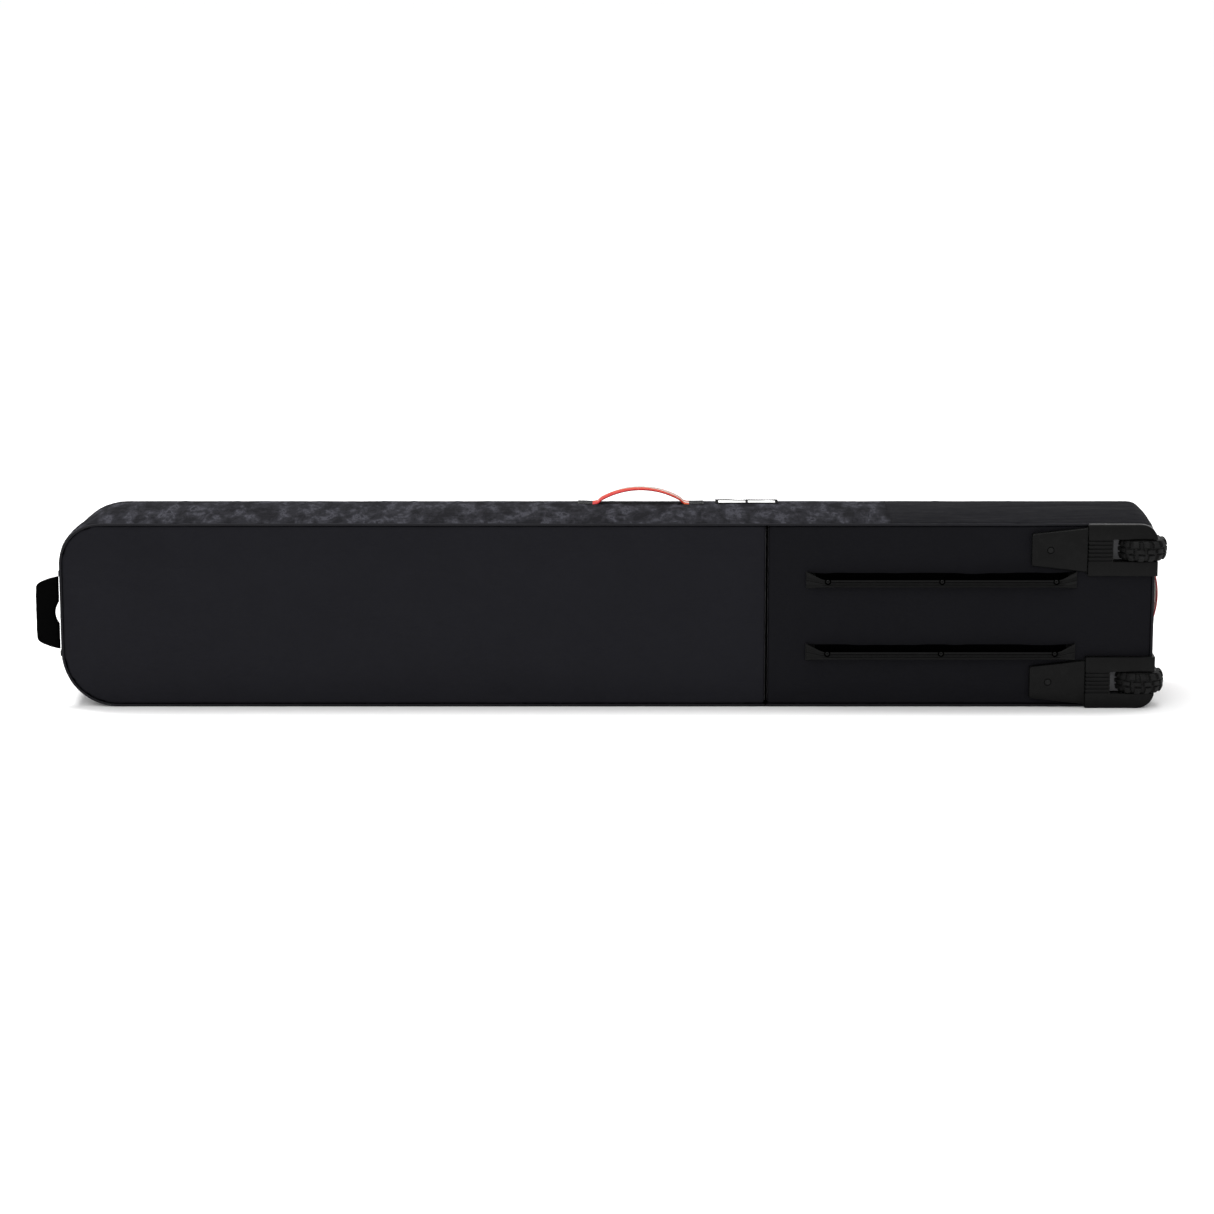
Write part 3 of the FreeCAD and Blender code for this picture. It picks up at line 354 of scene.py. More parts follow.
def weave_bump(nodes, pitch, depth, wrinkle=0.0):
    """The relief of a plain weave, with soft creases under it."""
    across = nodes.math("MAXIMUM", nodes.threads(pitch, "X"), nodes.threads(pitch, "Y"))
    woven = nodes.math("MINIMUM", across, nodes.threads(pitch, "Z"))
    below = None
    if wrinkle:
        creases = nodes.noise(14, 3, 0.5, 0.5, (0.35, 1, 1))
        below = nodes.bump(creases, wrinkle)
    return nodes.bump(woven, depth, 1.0, below)


def cloth(name, color, pitch=0.0011, roughness=0.72, wrinkle=0.004, mottle=0.18, shine=0.04):
    """Woven synthetic cloth: threads, slow creases and a slight change of tone."""
    material = new_material(name, color, roughness, Specular_IOR_Level=shine)
    nodes = Nodes(material)
    darker, lighter = (*scaled(color, 1 - mottle), 1), (*scaled(color, 1 + mottle), 1)
    tone = nodes.mix(nodes.noise(9, 5, 0.65), darker, lighter)
    fleck = nodes.noise(900, 2, 0.5)
    nodes.send("Base Color", nodes.mix(nodes.math("MULTIPLY", fleck, 0.5), tone, (*scaled(color, 1.5), 1)))
    rough = nodes.math("MULTIPLY_ADD", nodes.noise(40, 3), roughness * 0.3, roughness * 0.85)
    nodes.send("Roughness", rough)
    nodes.send("Normal", weave_bump(nodes, pitch, 0.00012, wrinkle))
    return material


def printed_cloth(name, tones, shine):
    """Cloth with a tone-on-tone print of ragged blots, longer across the wall than along it."""
    material = cloth(name, tones[1], wrinkle=0.003, shine=shine)
    nodes = Nodes(material)
    blots = nodes.noise(17, 8, 0.68, 0.35, (2.4, 0.8, 2.4))
    fine = nodes.noise(60, 6, 0.75, 0.3, (1.6, 0.7, 1.6))
    spread = nodes.math("ADD", nodes.math("MULTIPLY", blots, 0.75), nodes.math("MULTIPLY", fine, 0.25))
    stops = [(0.0, tones[0]), (0.455, tones[1]), (0.515, tones[2]), (0.555, tones[3]), (0.60, tones[1])]
    nodes.send("Base Color", nodes.steps(spread, stops, hard=True))
    return material


def moulded(name, color, roughness=0.5, grain=0.00012, scuff=0.25, shine=0.07):
    """Moulded plastic with a fine grain and paler rubbed patches."""
    material = new_material(name, color, roughness, Specular_IOR_Level=shine)
    nodes = Nodes(material)
    stops = [(0.52, color), (0.78, scaled(color, 1 + scuff))]
    nodes.send("Base Color", nodes.steps(nodes.noise(55, 8, 0.7, 0.3), stops))
    nodes.send("Roughness", nodes.math("MULTIPLY_ADD", nodes.noise(120, 4), 0.25, roughness - 0.12))
    nodes.send("Normal", nodes.bump(nodes.noise(1400, 3, 0.6), grain))
    return material


def rubber(name, color):
    """Dull rubber with pale dust and a fine tooth."""
    material = new_material(name, color, 0.62, Specular_IOR_Level=0.1)
    nodes = Nodes(material)
    dust = nodes.steps(nodes.noise(90, 6, 0.7), [(0.45, color), (0.8, scaled(color, 2.2))])
    nodes.send("Base Color", dust)
    nodes.send("Roughness", nodes.math("ADD", nodes.math("MULTIPLY", nodes.noise(200, 3), 0.3), 0.45))
    nodes.send("Normal", nodes.bump(nodes.noise(700, 4, 0.7), 0.0002))
    return material


def metal(name, color, roughness=0.32):
    """Plated metal with turning marks."""
    material = new_material(name, color, roughness, Metallic=1.0)
    nodes = Nodes(material)
    turned = nodes.noise(60, 3, 0.5, 0.0, (1, 1, 30))
    nodes.send("Roughness", nodes.math("ADD", nodes.math("MULTIPLY", turned, 0.25), roughness - 0.1))
    nodes.send("Base Color", nodes.mix(nodes.noise(300, 4), (*scaled(color, 0.8), 1), (*color, 1)))
    nodes.send("Normal", nodes.bump(turned, 0.00005))
    return material


PATCH = (0.006, 0.006, 0.007)
STRIPE_SLANT = 4.0


def striped_webbing(name, middle, half_arch, along, width):
    """Haul-handle webbing: red with orange, white and green lines; dark where it is sewn down."""
    red, orange = (0.36, 0.008, 0.008), (0.50, 0.10, 0.01)
    green, white = (0.02, 0.10, 0.05), (0.55, 0.52, 0.47)
    material = new_material(name, red, 0.62, Specular_IOR_Level=0.2)
    nodes = Nodes(material)
    split = nodes.add("ShaderNodeSeparateXYZ", {0: nodes.place})
    share = nodes.math("DIVIDE", nodes.math("SUBTRACT", split.outputs["Y"], middle.y - width / 2), width)
    split_along = nodes.math("SUBTRACT", split.outputs[along], middle["XYZ".index(along)])
    slanted = nodes.math("ADD", nodes.math("MULTIPLY", split_along, STRIPE_SLANT), share)
    stops = [(0.0, red), (0.28, orange), (0.36, red), (0.64, white), (0.76, green), (0.86, white),
             (0.96, red)]
    lines = nodes.steps(slanted, stops, hard=True)
    flecks = nodes.noise(70, 2, 0.4, 0.0, (1, 0.2, 1))
    dashes = nodes.steps(flecks, [(0.0, (0, 0, 0)), (0.66, (1, 1, 1))], hard=True)
    woven = nodes.mix(nodes.math("MULTIPLY", dashes, 0.25), lines, (*white, 1))
    from_middle = nodes.math("ABSOLUTE", split_along, 0.0)
    sewn = nodes.math("GREATER_THAN", from_middle, half_arch)
    nodes.send("Base Color", nodes.mix(sewn, woven, (*PATCH, 1)))
    across_ribs, along_ribs = nodes.threads(0.0016, "Y"), nodes.threads(0.001, along)
    ribs = nodes.math("MAXIMUM", across_ribs, nodes.math("MULTIPLY", along_ribs, 0.6))
    nodes.send("Normal", nodes.bump(ribs, 0.0003))
    nodes.send("Roughness", nodes.math("ADD", nodes.math("MULTIPLY", nodes.noise(500), 0.2), 0.5))
    return material


BASE_CLOTH = cloth("base_cloth", grey(0.0078, 1.25))
BASE_DARK = cloth("base_cloth_dark", grey(0.0044, 1.26), pitch=0.0014, roughness=0.66)
PRINTED = printed_cloth("printed_cloth", [grey(level, 1.2) for level in (0.0072, 0.0118, 0.0195, 0.034)],
                        shine=0.008)
PLAIN_CLOTH = cloth("plain_cloth", grey(0.0048, 1.25), roughness=0.6, shine=0.008)
LID_CLOTH = cloth("lid_cloth", grey(0.0095, 1.16), roughness=0.7, shine=0.02)
LINING = cloth("lining_cloth", grey(0.09, 1.05), pitch=0.0028, roughness=0.6, wrinkle=0.006)
PIPING = cloth("piping_cloth", grey(0.0105, 1.15), pitch=0.0012, roughness=0.6, wrinkle=0.0)
TAPE = cloth("zipper_tape", grey(0.0070), pitch=0.0009, roughness=0.75, wrinkle=0.0)
THREAD = cloth("sewing_thread", grey(0.016), pitch=0.0005, roughness=0.7, wrinkle=0.0)
TEETH = moulded("zipper_teeth", grey(0.012), 0.35)
HOUSING = moulded("housing_plastic", grey(0.0032), 0.33, 0.0001, 0.9)
RAIL = moulded("rail_plastic", grey(0.0030), 0.33, 0.0001, 0.5)
SCREW = moulded("black_screws", grey(0.0070), 0.3, 0.00004)
# Painted shade: a matte black with no reflection. It goes on the rails' upper flanks, the screw recess floors
# and the base fold seam, where shadow falls.
PAINTED_SHADE_BLACK = moulded("shaded_recess", grey(0.0004), 0.8, shine=0.0)
STEEL = metal("zinc_steel", grey(0.55))
BEARING = metal("bearing_steel", grey(0.62), 0.2)
TYRE = rubber("tyre_rubber", grey(0.0045))
HUB = moulded("hub_plastic", grey(0.012), 0.4)
WRAP = cloth("tail_handle_cloth", grey(0.0005, 1.05), pitch=0.0013, roughness=0.35, wrinkle=0.006,
             shine=0.012)
ENAMEL = metal("slider_enamel", grey(0.05), 0.3)
PULL = rubber("pull_rubber", grey(0.012))
STRAP = cloth("strap_webbing", grey(0.012), pitch=0.0016, wrinkle=0.0)
BUCKLE = moulded("buckle_plastic", grey(0.014), 0.4)
LABEL_WHITE = cloth("label_white", grey(0.70, 0.98), pitch=0.0006, wrinkle=0.0, mottle=0.05)
LABEL_BLACK = cloth("label_black", grey(0.004), pitch=0.0006, wrinkle=0.0)


# ---------------------------------------------------------------- floor, light and camera

def make_stage():
    reach = 60
    corners = [(-reach, -reach, 0), (reach, -reach, 0), (reach, reach, 0), (-reach, reach, 0)]
    floor = mesh_object("floor", corners, [(0, 1, 2, 3)],
                        new_material("pale_floor", grey(0.93), 0.9, Specular_IOR_Level=0.0), smooth=False)
    world = bpy.data.worlds.new("studio")
    bpy.context.scene.world = world
    world.use_nodes = True
    world.node_tree.nodes["Background"].inputs["Color"].default_value = (1, 1, 1, 1)
    world.node_tree.nodes["Background"].inputs["Strength"].default_value = 1.08
    lamps = [("overhead", (0.0, 0.35, 3.0), (0, 0, 0), (4.0, 0.7), 50),
             ("key", (-1.5, 0.45, 2.4), (0.3, 0, 0.1), (0.6, 0.6), 45),
             ("front_fill", (-0.6, -3.6, 2.2), (0, 0, 0.15), (3.0, 1.0), 22)]
    for name, place, aim, size, power in lamps:
        light = bpy.data.lights.new(name, "AREA")
        light.shape = "RECTANGLE"
        light.size, light.size_y = size
        light.energy = power
        lamp = bpy.data.objects.new(name, light)
        lamp.location = place
        lamp.rotation_euler = (Vector(aim) - Vector(place)).to_track_quat("-Z", "Y").to_euler()
        bpy.context.scene.collection.objects.link(lamp)


def make_camera():
    """A long lens, looking along +Y from a little above."""
    elevation = math.radians(12.4)
    distance = 6.57
    aim = Vector((0.0, 0.0, 0.143))
    camera = bpy.data.cameras.new("camera")
    camera.lens = 120
    camera.sensor_width = 36
    view = bpy.data.objects.new("camera", camera)
    view.location = aim + distance * Vector((0, -math.cos(elevation), math.sin(elevation)))
    view.rotation_euler = (aim - view.location).to_track_quat("-Z", "Y").to_euler()
    bpy.context.scene.collection.objects.link(view)
    bpy.context.scene.camera = view
    bpy.context.scene.view_settings.view_transform = "Standard"


make_stage()
make_camera()


# ---------------------------------------------------------------- side walls

NEAR_TOP_RADIUS = 0.066
SEAM_X = -0.024
WALL_CLOTH = 0.0012
SNAPS = (PRINT_X, SEAM_X, FOLD_X)


def snapped(x, step=0.012):
    """Moves a point along the bag onto a seam that is close to it."""
    for seam in SNAPS:
        if abs(x - seam) <= step / 2:
            return seam
    return x


def top_radius(depth_share):
    """The tail's upper corner is tighter at the base than at the lid."""
    return NEAR_TOP_RADIUS + (TAIL_RADIUS - NEAR_TOP_RADIUS) * ramp_between(depth_share, 0.0, 0.8)


def wall_push(x, z, way, depth_share):
    """How far the side cloth stands out from the flat wall."""
    crown = math.sin(math.pi * depth_share) ** 0.7
    from_edge = min(depth_share, 1 - depth_share) * (FACE_Y - BASE_Y)
    along = x if abs(way[1]) > 0.5 else z
    pucker = math.exp(-from_edge / 0.016) * smooth_noise(along, from_edge, 0.0, 0.017, 3.0)
    depth = depth_share * 0.19
    crease = smooth_noise(x, z, depth, 0.085, 7.0) + 0.5 * smooth_noise(x, z, depth, 0.035)
    height = 0.0034 if way[1] > 0.3 else 0.0026
    seam = sum(math.exp(-((x - place) / 0.008) ** 2) for place in (SEAM_X, PRINT_X))
    push = height * crown + 0.0011 * pucker + 0.0010 * crease * crown
    push -= 0.0010 * seam * crown * (way[1] > 0.5)
    resting = ramp_between(-way[1], 0.75, 1.0)
    return max(push, -0.0006) * (1 - resting)


def wall_band(name, keep, material, rows=22):
    """The side cloth between the two pipings, over the stretch that keep accepts."""
    y_low, y_high = BASE_Y + 0.0015, FACE_Y - 0.0015
    points = []
    for row in range(rows):
        share = 0.5 - 0.5 * math.cos(math.pi * row / (rows - 1))
        for (x, z), way in outline(top_tail=top_radius(share)):
            x = snapped(x)
            push = wall_push(x, z, way, share)
            points.append((x + way[0] * push, y_low + (y_high - y_low) * share, z + way[1] * push))
    columns = len(points) // rows
    faces = [face for face in grid_faces(rows, columns, closed=True)
             if keep(sum(points[corner][0] for corner in face) / 4)]
    used = sorted({corner for face in faces for corner in face})
    order = {corner: index for index, corner in enumerate(used)}
    wall = mesh_object(name, [points[corner] for corner in used],
                       [tuple(order[corner] for corner in face) for face in faces], material)
    face_outward(wall, Vector((0.0, 0.0, MIDDLE_Z)))
    return make_solid(wall, WALL_CLOTH)


def face_outward(obj, centre):
    """Turns an open sheet's faces away from a point, by the sum over its faces."""
    lean = sum((polygon.center - centre).dot(polygon.normal) * polygon.area for polygon in obj.data.polygons)
    if lean < 0:
        obj.data.flip_normals()
    obj.data.update()


printed_wall = wall_band("side_wall_printed", lambda x: x < PRINT_X, PRINTED)
plain_wall = wall_band("side_wall_plain", lambda x: x > PRINT_X, PLAIN_CLOTH)
stand_in(printed_wall, "bag", "printed_cloth",
         "upper_wall_fabric_printed", "lower_wall_fabric_printed", "tail_wall_fabric")
stand_in(plain_wall, "bag", "plain_cloth",
         "upper_wall_fabric_plain", "lower_wall_fabric_plain", "end_wall_fabric")


# ---------------------------------------------------------------- tubes, stitches and piping

def tube(name, path, radius, material, closed=False, sides=10):
    """A round bead along a path."""
    count = len(path)
    path = [Vector(point) for point in path]
    points = []
    for index, place in enumerate(path):
        before = path[index - 1] if closed or index else place
        after = path[(index + 1) % count] if closed or index < count - 1 else place
        forward = (after - before).normalized()
        side = forward.cross(Vector((0, 1, 0)))
        side = side.normalized() if side.length > 1e-6 else Vector((1, 0, 0))
        over = forward.cross(side).normalized()
        for number in range(sides):
            angle = TAU * number / sides
            points.append(place + radius * (math.cos(angle) * side + math.sin(angle) * over))
    faces = grid_faces(count, sides, closed=True)
    faces += last_to_first(count, sides) if closed else end_caps(count, sides)
    return outward_normals(mesh_object(name, points, faces, material))


def stitches(name, path, lift, pitch=0.0042, length=0.0028, radius=0.00035):
    """A row of thread stitches on a path of points; lift is the way out of the cloth."""
    path = [Vector(point) for point in path]
    lift = Vector(lift).normalized()
    points, faces = [], []
    left = 0.0
    for first, second in zip(path, path[1:]):
        run = (second - first).length
        if run < 1e-7:
            continue
        forward = (second - first) / run
        side = forward.cross(lift).normalized()
        at = left
        while at + length <= run + pitch:
            start = first + forward * at
            base = len(points)
            for share, rise in ((0.0, 0.0), (0.5, 1.0), (1.0, 0.0)):
                middle = start + forward * length * share + lift * radius * rise
                points += [middle + side * radius, middle + lift * radius, middle - side * radius,
                           middle - lift * radius]
            faces += small_block(base)
            at += pitch
            if at > run:
                break
        left = max(at - run, 0.0)
    return outward_normals(mesh_object(name, points, faces, THREAD))


PIPE = 0.0021


def piping(name, y, top_tail):
    path = []
    for (x, z), way in outline(inset=PIPE, top_tail=top_tail):
        sway = 0.0003 * smooth_noise(x, z, y, 0.04, 5.0)
        path.append((x + way[0] * sway, y + sway, max(z + way[1] * sway, PIPE)))
    return tube(name, path, PIPE, PIPING, closed=True)


base_piping = piping("piping_base_edge", BASE_Y + 0.0008, NEAR_TOP_RADIUS)
front_piping = piping("piping_front_edge", FACE_Y - 0.0008, TAIL_RADIUS)
for piece, node in ((base_piping, "piping_base"), (front_piping, "piping_front")):
    stand_in(piece, "bag", "piping", node)


# ---------------------------------------------------------------- padded panels

def corner_limits(x, inset, top_tail):
    """The lowest and highest Z of the bag's outline at one place along it."""
    low, high = inset, TOP_Z - inset
    for radius, is_top in ((top_tail - inset, True), (TAIL_RADIUS - inset, False)):
        into = (TAIL_X + inset + radius) - x
        if into > 0:
            cut = radius - math.sqrt(max(radius * radius - into * into, 0.0))
            low, high = (low, high - cut) if is_top else (low + cut, high)
    radius = max(END_RADIUS - inset, 0.002)
    into = x - (END_X - inset - radius)
    if into > 0:
        cut = radius - math.sqrt(max(radius * radius - into * into, 0.0))
        low, high = low + cut, high - cut
    return low, high


def along_places(start, stop, step):
    """Places along the bag, closer together where the outline turns at either end."""
    count = max(round((stop - start) / step), 2)
    even = [start + (stop - start) * number / count for number in range(count + 1)]
    ends = []
    for number in range(1, 9):
        ends.append(TAIL_X + 0.02 * (number / 9) ** 2)
        ends.append(END_X - 0.02 * (number / 9) ** 2)
    places = sorted(even + [x for x in ends if start < x < stop])
    return [x for index, x in enumerate(places) if index == 0 or x - places[index - 1] > 1e-4]


def slab(name, start, stop, inset, y_out, y_in, step, rows, top_tail=TAIL_RADIUS, low_edge=None):
    """A closed flat pad inside the bag's outline, from one place along it to another."""
    columns = []
    for x in along_places(start, stop, step):
        low, high = corner_limits(x, inset, top_tail)
        if low_edge is not None and x > TAIL_X + TAIL_RADIUS:
            low = low_edge
        columns.append([(x, low + (high - low) * row / (rows - 1)) for row in range(rows)])
    points = [(x, y, z) for y in (y_out, y_in) for column in columns for x, z in column]
    return outward_normals(mesh_object(name, points, two_sided(len(columns), rows)))


SEWN_EDGE = 0.0045
PAD_VOXEL = 0.006
PAD_STEP = 0.012
SWELL_FRAMES = 20
SWELL = {"quality": 5, "mass": 0.3, "tension_stiffness": 12, "compression_stiffness": 6, "shear_stiffness": 5,
         "bending_stiffness": 0.4, "use_pressure": True, "uniform_pressure_force": 4.0}


def inflate(pad, cap, edge_of):
    """Swells a pad as cloth under pressure, with its sewn edge held, and limits how far any point moves."""
    use_modifier(pad, "REMESH", mode="VOXEL", voxel_size=PAD_VOXEL)
    start = [vertex.co.copy() for vertex in pad.data.vertices]
    sewn = pad.vertex_groups.new(name="sewn")
    held = [vertex.index for vertex in pad.data.vertices if edge_of(vertex.co.x, vertex.co.z) < SEWN_EDGE]
    sewn.add(held, 1.0, "REPLACE")
    modifier = pad.modifiers.new("cloth", "CLOTH")
    for name, value in SWELL.items():
        setattr(modifier.settings, name, value)
    modifier.settings.effector_weights.gravity = 0
    modifier.settings.vertex_group_mass = sewn.name
    modifier.point_cache.frame_start = 1
    modifier.point_cache.frame_end = SWELL_FRAMES
    for number in range(1, SWELL_FRAMES + 1):
        bpy.context.scene.frame_set(number)
    depsgraph = bpy.context.evaluated_depsgraph_get()
    mesh = bpy.data.meshes.new_from_object(pad.evaluated_get(depsgraph))
    pad.modifiers.clear()
    pad.vertex_groups.clear()
    pad.data = mesh
    bpy.context.scene.frame_set(1)
    for vertex, before in zip(mesh.vertices, start):
        moved = vertex.co - before
        if moved.length > cap:
            vertex.co = before + moved * (cap / moved.length)
    return pad


CREASE = 0.0012
PUCKER = 0.0014


def shape_pad(pad, y_edge, y_floor, outward, edge_of):
    """Draws a pad down to its seam, adds creases and puckers, and keeps it off what lies under it."""
    for vertex in pad.data.vertices:
        place = vertex.co
        from_edge = max(edge_of(place.x, place.z), 0.0)
        proud = (place.y - y_edge) * outward
        if proud > -abs(y_floor - y_edge) / 2:
            drawn = 1 - math.exp(-from_edge / 0.022)
            ripple = math.exp(-from_edge / 0.02) * smooth_noise(place.x, 0.0, place.z, 0.014, 2.0)
            fold = smooth_noise(place.x * 0.5, 0.0, place.z, 0.055, 9.0)
            fold += 0.6 * smooth_noise(place.x, 0.3, place.z, 0.03)
            proud = proud * drawn - 0.0012 * (1 - drawn) + (PUCKER * ripple + CREASE * fold * drawn)
            place.y = y_edge + outward * proud
        under = (place.y - y_floor) * outward
        if under < 0:
            place.y = y_floor
    pad.data.update()
    return pad


def finish_pad(pad, material):
    use_modifier(pad, "SUBSURF", levels=1, render_levels=1)
    dress(pad, material)
    pad.data.polygons.foreach_set("use_smooth", [True] * len(pad.data.polygons))
    return pad


BASE_INSET = 0.003
BASE_OUTER_Y = BASE_Y + 0.0006
BASE_INNER_Y = BASE_Y + 0.0072
BASE_FLOOR_Y = BASE_Y + 0.0080
SEAM_HALF = 0.0015


def base_edge_distance(x, z, start, stop):
    low, high = corner_limits(x, BASE_INSET, NEAR_TOP_RADIUS)
    ends = [x - (TAIL_X + BASE_INSET) if start < TAIL_X + 0.01 else x - start,
            (END_X - BASE_INSET) - x if stop > END_X - 0.01 else stop - x]
    return min(z - low, high - z, *ends)


TAIL_SWELL = 0.006
WHEEL_END_SWELL = 0.0030
SEAM_BEAD = 0.0016
WELL_AHEAD = 0.012
WELL_BESIDE = 0.002
WELL_DEPTH = 0.030


def open_well(pad, tyre_node):
    """Cuts the pad away where a wheel turns in its well."""
    low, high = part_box(tyre_node)
    low = Vector((low.x - WELL_AHEAD, BASE_Y - WELL_DEPTH, low.z - WELL_BESIDE))
    high = Vector((high.x + WELL_AHEAD, BASE_Y + WELL_DEPTH, high.z + WELL_BESIDE))
    bpy.ops.mesh.primitive_cube_add(size=1, location=(low + high) / 2)
    cutter = bpy.context.object
    cutter.scale = high - low
    return cut_away(pad, cutter)


def base_pad(name, start, stop, material, cap, slot, *nodes):
    pad = slab(name, start, stop, BASE_INSET, BASE_OUTER_Y, BASE_INNER_Y, PAD_STEP, 26, NEAR_TOP_RADIUS)
    def edge_of(x, z):
        return base_edge_distance(x, z, start, stop)

    inflate(pad, cap, edge_of)
    shape_pad(pad, BASE_Y, BASE_FLOOR_Y, -1, edge_of)
    finish_pad(pad, material)
    stand_in(pad, "bag", slot, *nodes)
    return pad


base_pad("base_pad_tail", TAIL_X + BASE_INSET, FOLD_X - SEAM_HALF, BASE_CLOTH, TAIL_SWELL,
         "base_cloth", "base_fabric_tail", "base_foam")
wheel_pad = base_pad("base_pad_wheel_end", FOLD_X + SEAM_HALF, END_X - BASE_INSET, BASE_DARK, WHEEL_END_SWELL,
                     "base_cloth_dark", "base_fabric_wheel_end", "base_board")
for side in ("upper", "lower"):
    open_well(wheel_pad, side + "_tyre")
# The fold seam bead takes the painted shade black, standing for the shadowed crease between the two base
# pads.
seam_path = [(FOLD_X, BASE_Y + 0.0002, BASE_INSET + (TOP_Z - 2 * BASE_INSET) * n / 60) for n in range(61)]
stand_in(tube("base_fold_seam", seam_path, SEAM_BEAD, PAINTED_SHADE_BLACK, sides=8), "bag", "base_cloth_dark")


# ---------------------------------------------------------------- lid, border and zipper

BORDER_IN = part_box("zipper_tape_body")[0].x - TAIL_X
TEETH_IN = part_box("zipper_teeth_body")[0].x - TAIL_X
TEETH_LOW, TEETH_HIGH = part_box("zipper_teeth_lid")
LID_TEETH_IN = TEETH_LOW.x - TAIL_X
LID_TAPE_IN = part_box("zipper_tape_lid")[0].x - TAIL_X
LID_IN = lid_low.x - TAIL_X
HINGE_ZONE_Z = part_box("zipper_tape_body")[0].z + 0.013
LID_LOW_Z = lid_low.z
STRAIGHT_TAIL_X = TAIL_X + TAIL_RADIUS
LID_FLOOR_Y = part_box("lid_lining")[1].y
LID_SWELL = 0.0034


def lid_edge_distance(x, z):
    low, high = corner_limits(x, LID_IN, TAIL_RADIUS)
    if x > STRAIGHT_TAIL_X:
        low = LID_LOW_Z
    return min(z - low, high - z, x - (TAIL_X + LID_IN), END_X - LID_IN - x)


lid_pad = slab("lid_pad", TAIL_X + LID_IN, END_X - LID_IN, LID_IN, FACE_Y - 0.0008, LID_FLOOR_Y + 0.0003,
               PAD_STEP, 24, low_edge=LID_LOW_Z + 0.0004)
inflate(lid_pad, LID_SWELL, lid_edge_distance)
shape_pad(lid_pad, FACE_Y - 0.0002, LID_FLOOR_Y, 1, lid_edge_distance)
finish_pad(lid_pad, LID_CLOTH)
stand_in(lid_pad, "lid", "plain_cloth", "lid_fabric", "lid_foam_pad")


def loft_rings(name, rings, material, closed=True):
    """A sheet through several outlines with the same number of points."""
    points = [point for ring in rings for point in ring]
    return mesh_object(name, points, grid_faces(len(rings), len(rings[0]), closed), material)


def flat_ring(inset, y, open_fold=False):
    """The outline at one inset and depth; open_fold leaves out the stretch along the lid's fold."""
    places = outline(inset=inset)
    if open_fold:
        places = [(point, way) for point, way in places
                  if not (point[0] > STRAIGHT_TAIL_X + 1e-6 and point[1] < HINGE_ZONE_Z)]
    return [(x, y, z) for (x, z), way in places]


BORDER_THICK = 0.0016
border_rows = [(0.0035, -0.0010), (0.0045, -0.0001), (0.0080, 0.0006), (0.0120, 0.0005), (0.0148, 0.0),
               (0.0158, -0.0009)]
border_rings = [flat_ring(inset, FACE_Y + rise) for inset, rise in border_rows]
border = loft_rings("front_border_band", border_rings, LID_CLOTH)
face_outward(border, Vector((0, -1, MIDDLE_Z)))
make_solid(border, BORDER_THICK)
stand_in(border, "bag", "plain_cloth", "front_border")

TAPE_Y = FACE_Y - 0.0013
TAPE_THICK = 0.0007


def zipper_tape(name, first_inset, last_inset, body, node):
    rings = [flat_ring(first_inset + (last_inset - first_inset) * n / 3, TAPE_Y + 0.0002 * math.sin(n), True)
             for n in range(4)]
    tape = loft_rings(name, rings, TAPE, closed=False)
    face_outward(tape, Vector((0, -1, MIDDLE_Z)))
    make_solid(tape, TAPE_THICK)
    stand_in(tape, body, "zipper_tape", node)


zipper_tape("zipper_tape_outer", BORDER_IN - 0.001, TEETH_IN + 0.0002, "bag", "zipper_tape_body")
zipper_tape("zipper_tape_inner", LID_TAPE_IN - 0.0002, LID_IN + 0.002, "lid", "zipper_tape_lid")


def zipper_teeth(name, first_inset, last_inset, shift, body, node, pitch=0.003, wide=0.0016):
    """Moulded teeth, each a block with a rounded head, side by side along the opening."""
    path = [Vector(point) for point in flat_ring((first_inset + last_inset) / 2, FACE_Y, True)]
    deep = last_inset - first_inset
    points, faces = [], []
    left = shift
    for first, second in zip(path, path[1:]):
        run = (second - first).length
        forward = (second - first) / run
        inward = forward.cross(Vector((0, 1, 0))).normalized()
        at = left
        while at < run:
            middle = first + forward * at
            base = len(points)
            for share, size in ((-0.5, 0.75), (0.2, 1.0), (0.5, 0.7)):
                for along, rise in ((-1, -0.0022), (1, -0.0022), (1, -0.0002), (-1, -0.0002)):
                    points.append(middle + forward * along * wide / 2 * size + inward * deep * share
                                  + Vector((0, rise * (0.8 + 0.2 * size), 0)))
            faces += small_block(base)
            at += pitch
        left = at - run
    teeth = outward_normals(mesh_object(name, points, faces, TEETH, smooth=False))
    stand_in(teeth, body, "zipper_teeth", node)


zipper_teeth("zipper_teeth_outer", TEETH_IN, TEETH_IN + 0.0017, 0.0005, "bag", "zipper_teeth_body")
zipper_teeth("zipper_teeth_inner", LID_TEETH_IN, LID_TEETH_IN + 0.0017, 0.0020, "lid", "zipper_teeth_lid")

# The cloth fold that the lid turns on: a sheet across the hinge.
FOLD_END_GAP = 0.004
FOLD_THICK = 0.0008
fold_rows = [(0.0135, 0.0004), (0.0150, 0.0009), (0.0160, 0.0012), (0.0168, 0.0012), (0.0185, 0.0011),
             (0.0215, 0.0009)]
fold_start, fold_stop = STRAIGHT_TAIL_X + FOLD_END_GAP, END_X - LID_IN - FOLD_END_GAP
fold_columns = 120
fold_points = []
for z, rise in fold_rows:
    for column in range(fold_columns):
        x = fold_start + (fold_stop - fold_start) * column / (fold_columns - 1)
        fold_points.append((x, FACE_Y + rise + 0.0002 * smooth_noise(x, z, 0, 0.02), z))
lid_fold = mesh_object("lid_fold_cloth", fold_points, grid_faces(len(fold_rows), fold_columns), LID_CLOTH)
face_outward(lid_fold, Vector((0, -1, MIDDLE_Z)))
make_solid(lid_fold, FOLD_THICK)
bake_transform(lid_fold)


# ---------------------------------------------------------------- lining, inner straps and lid lining

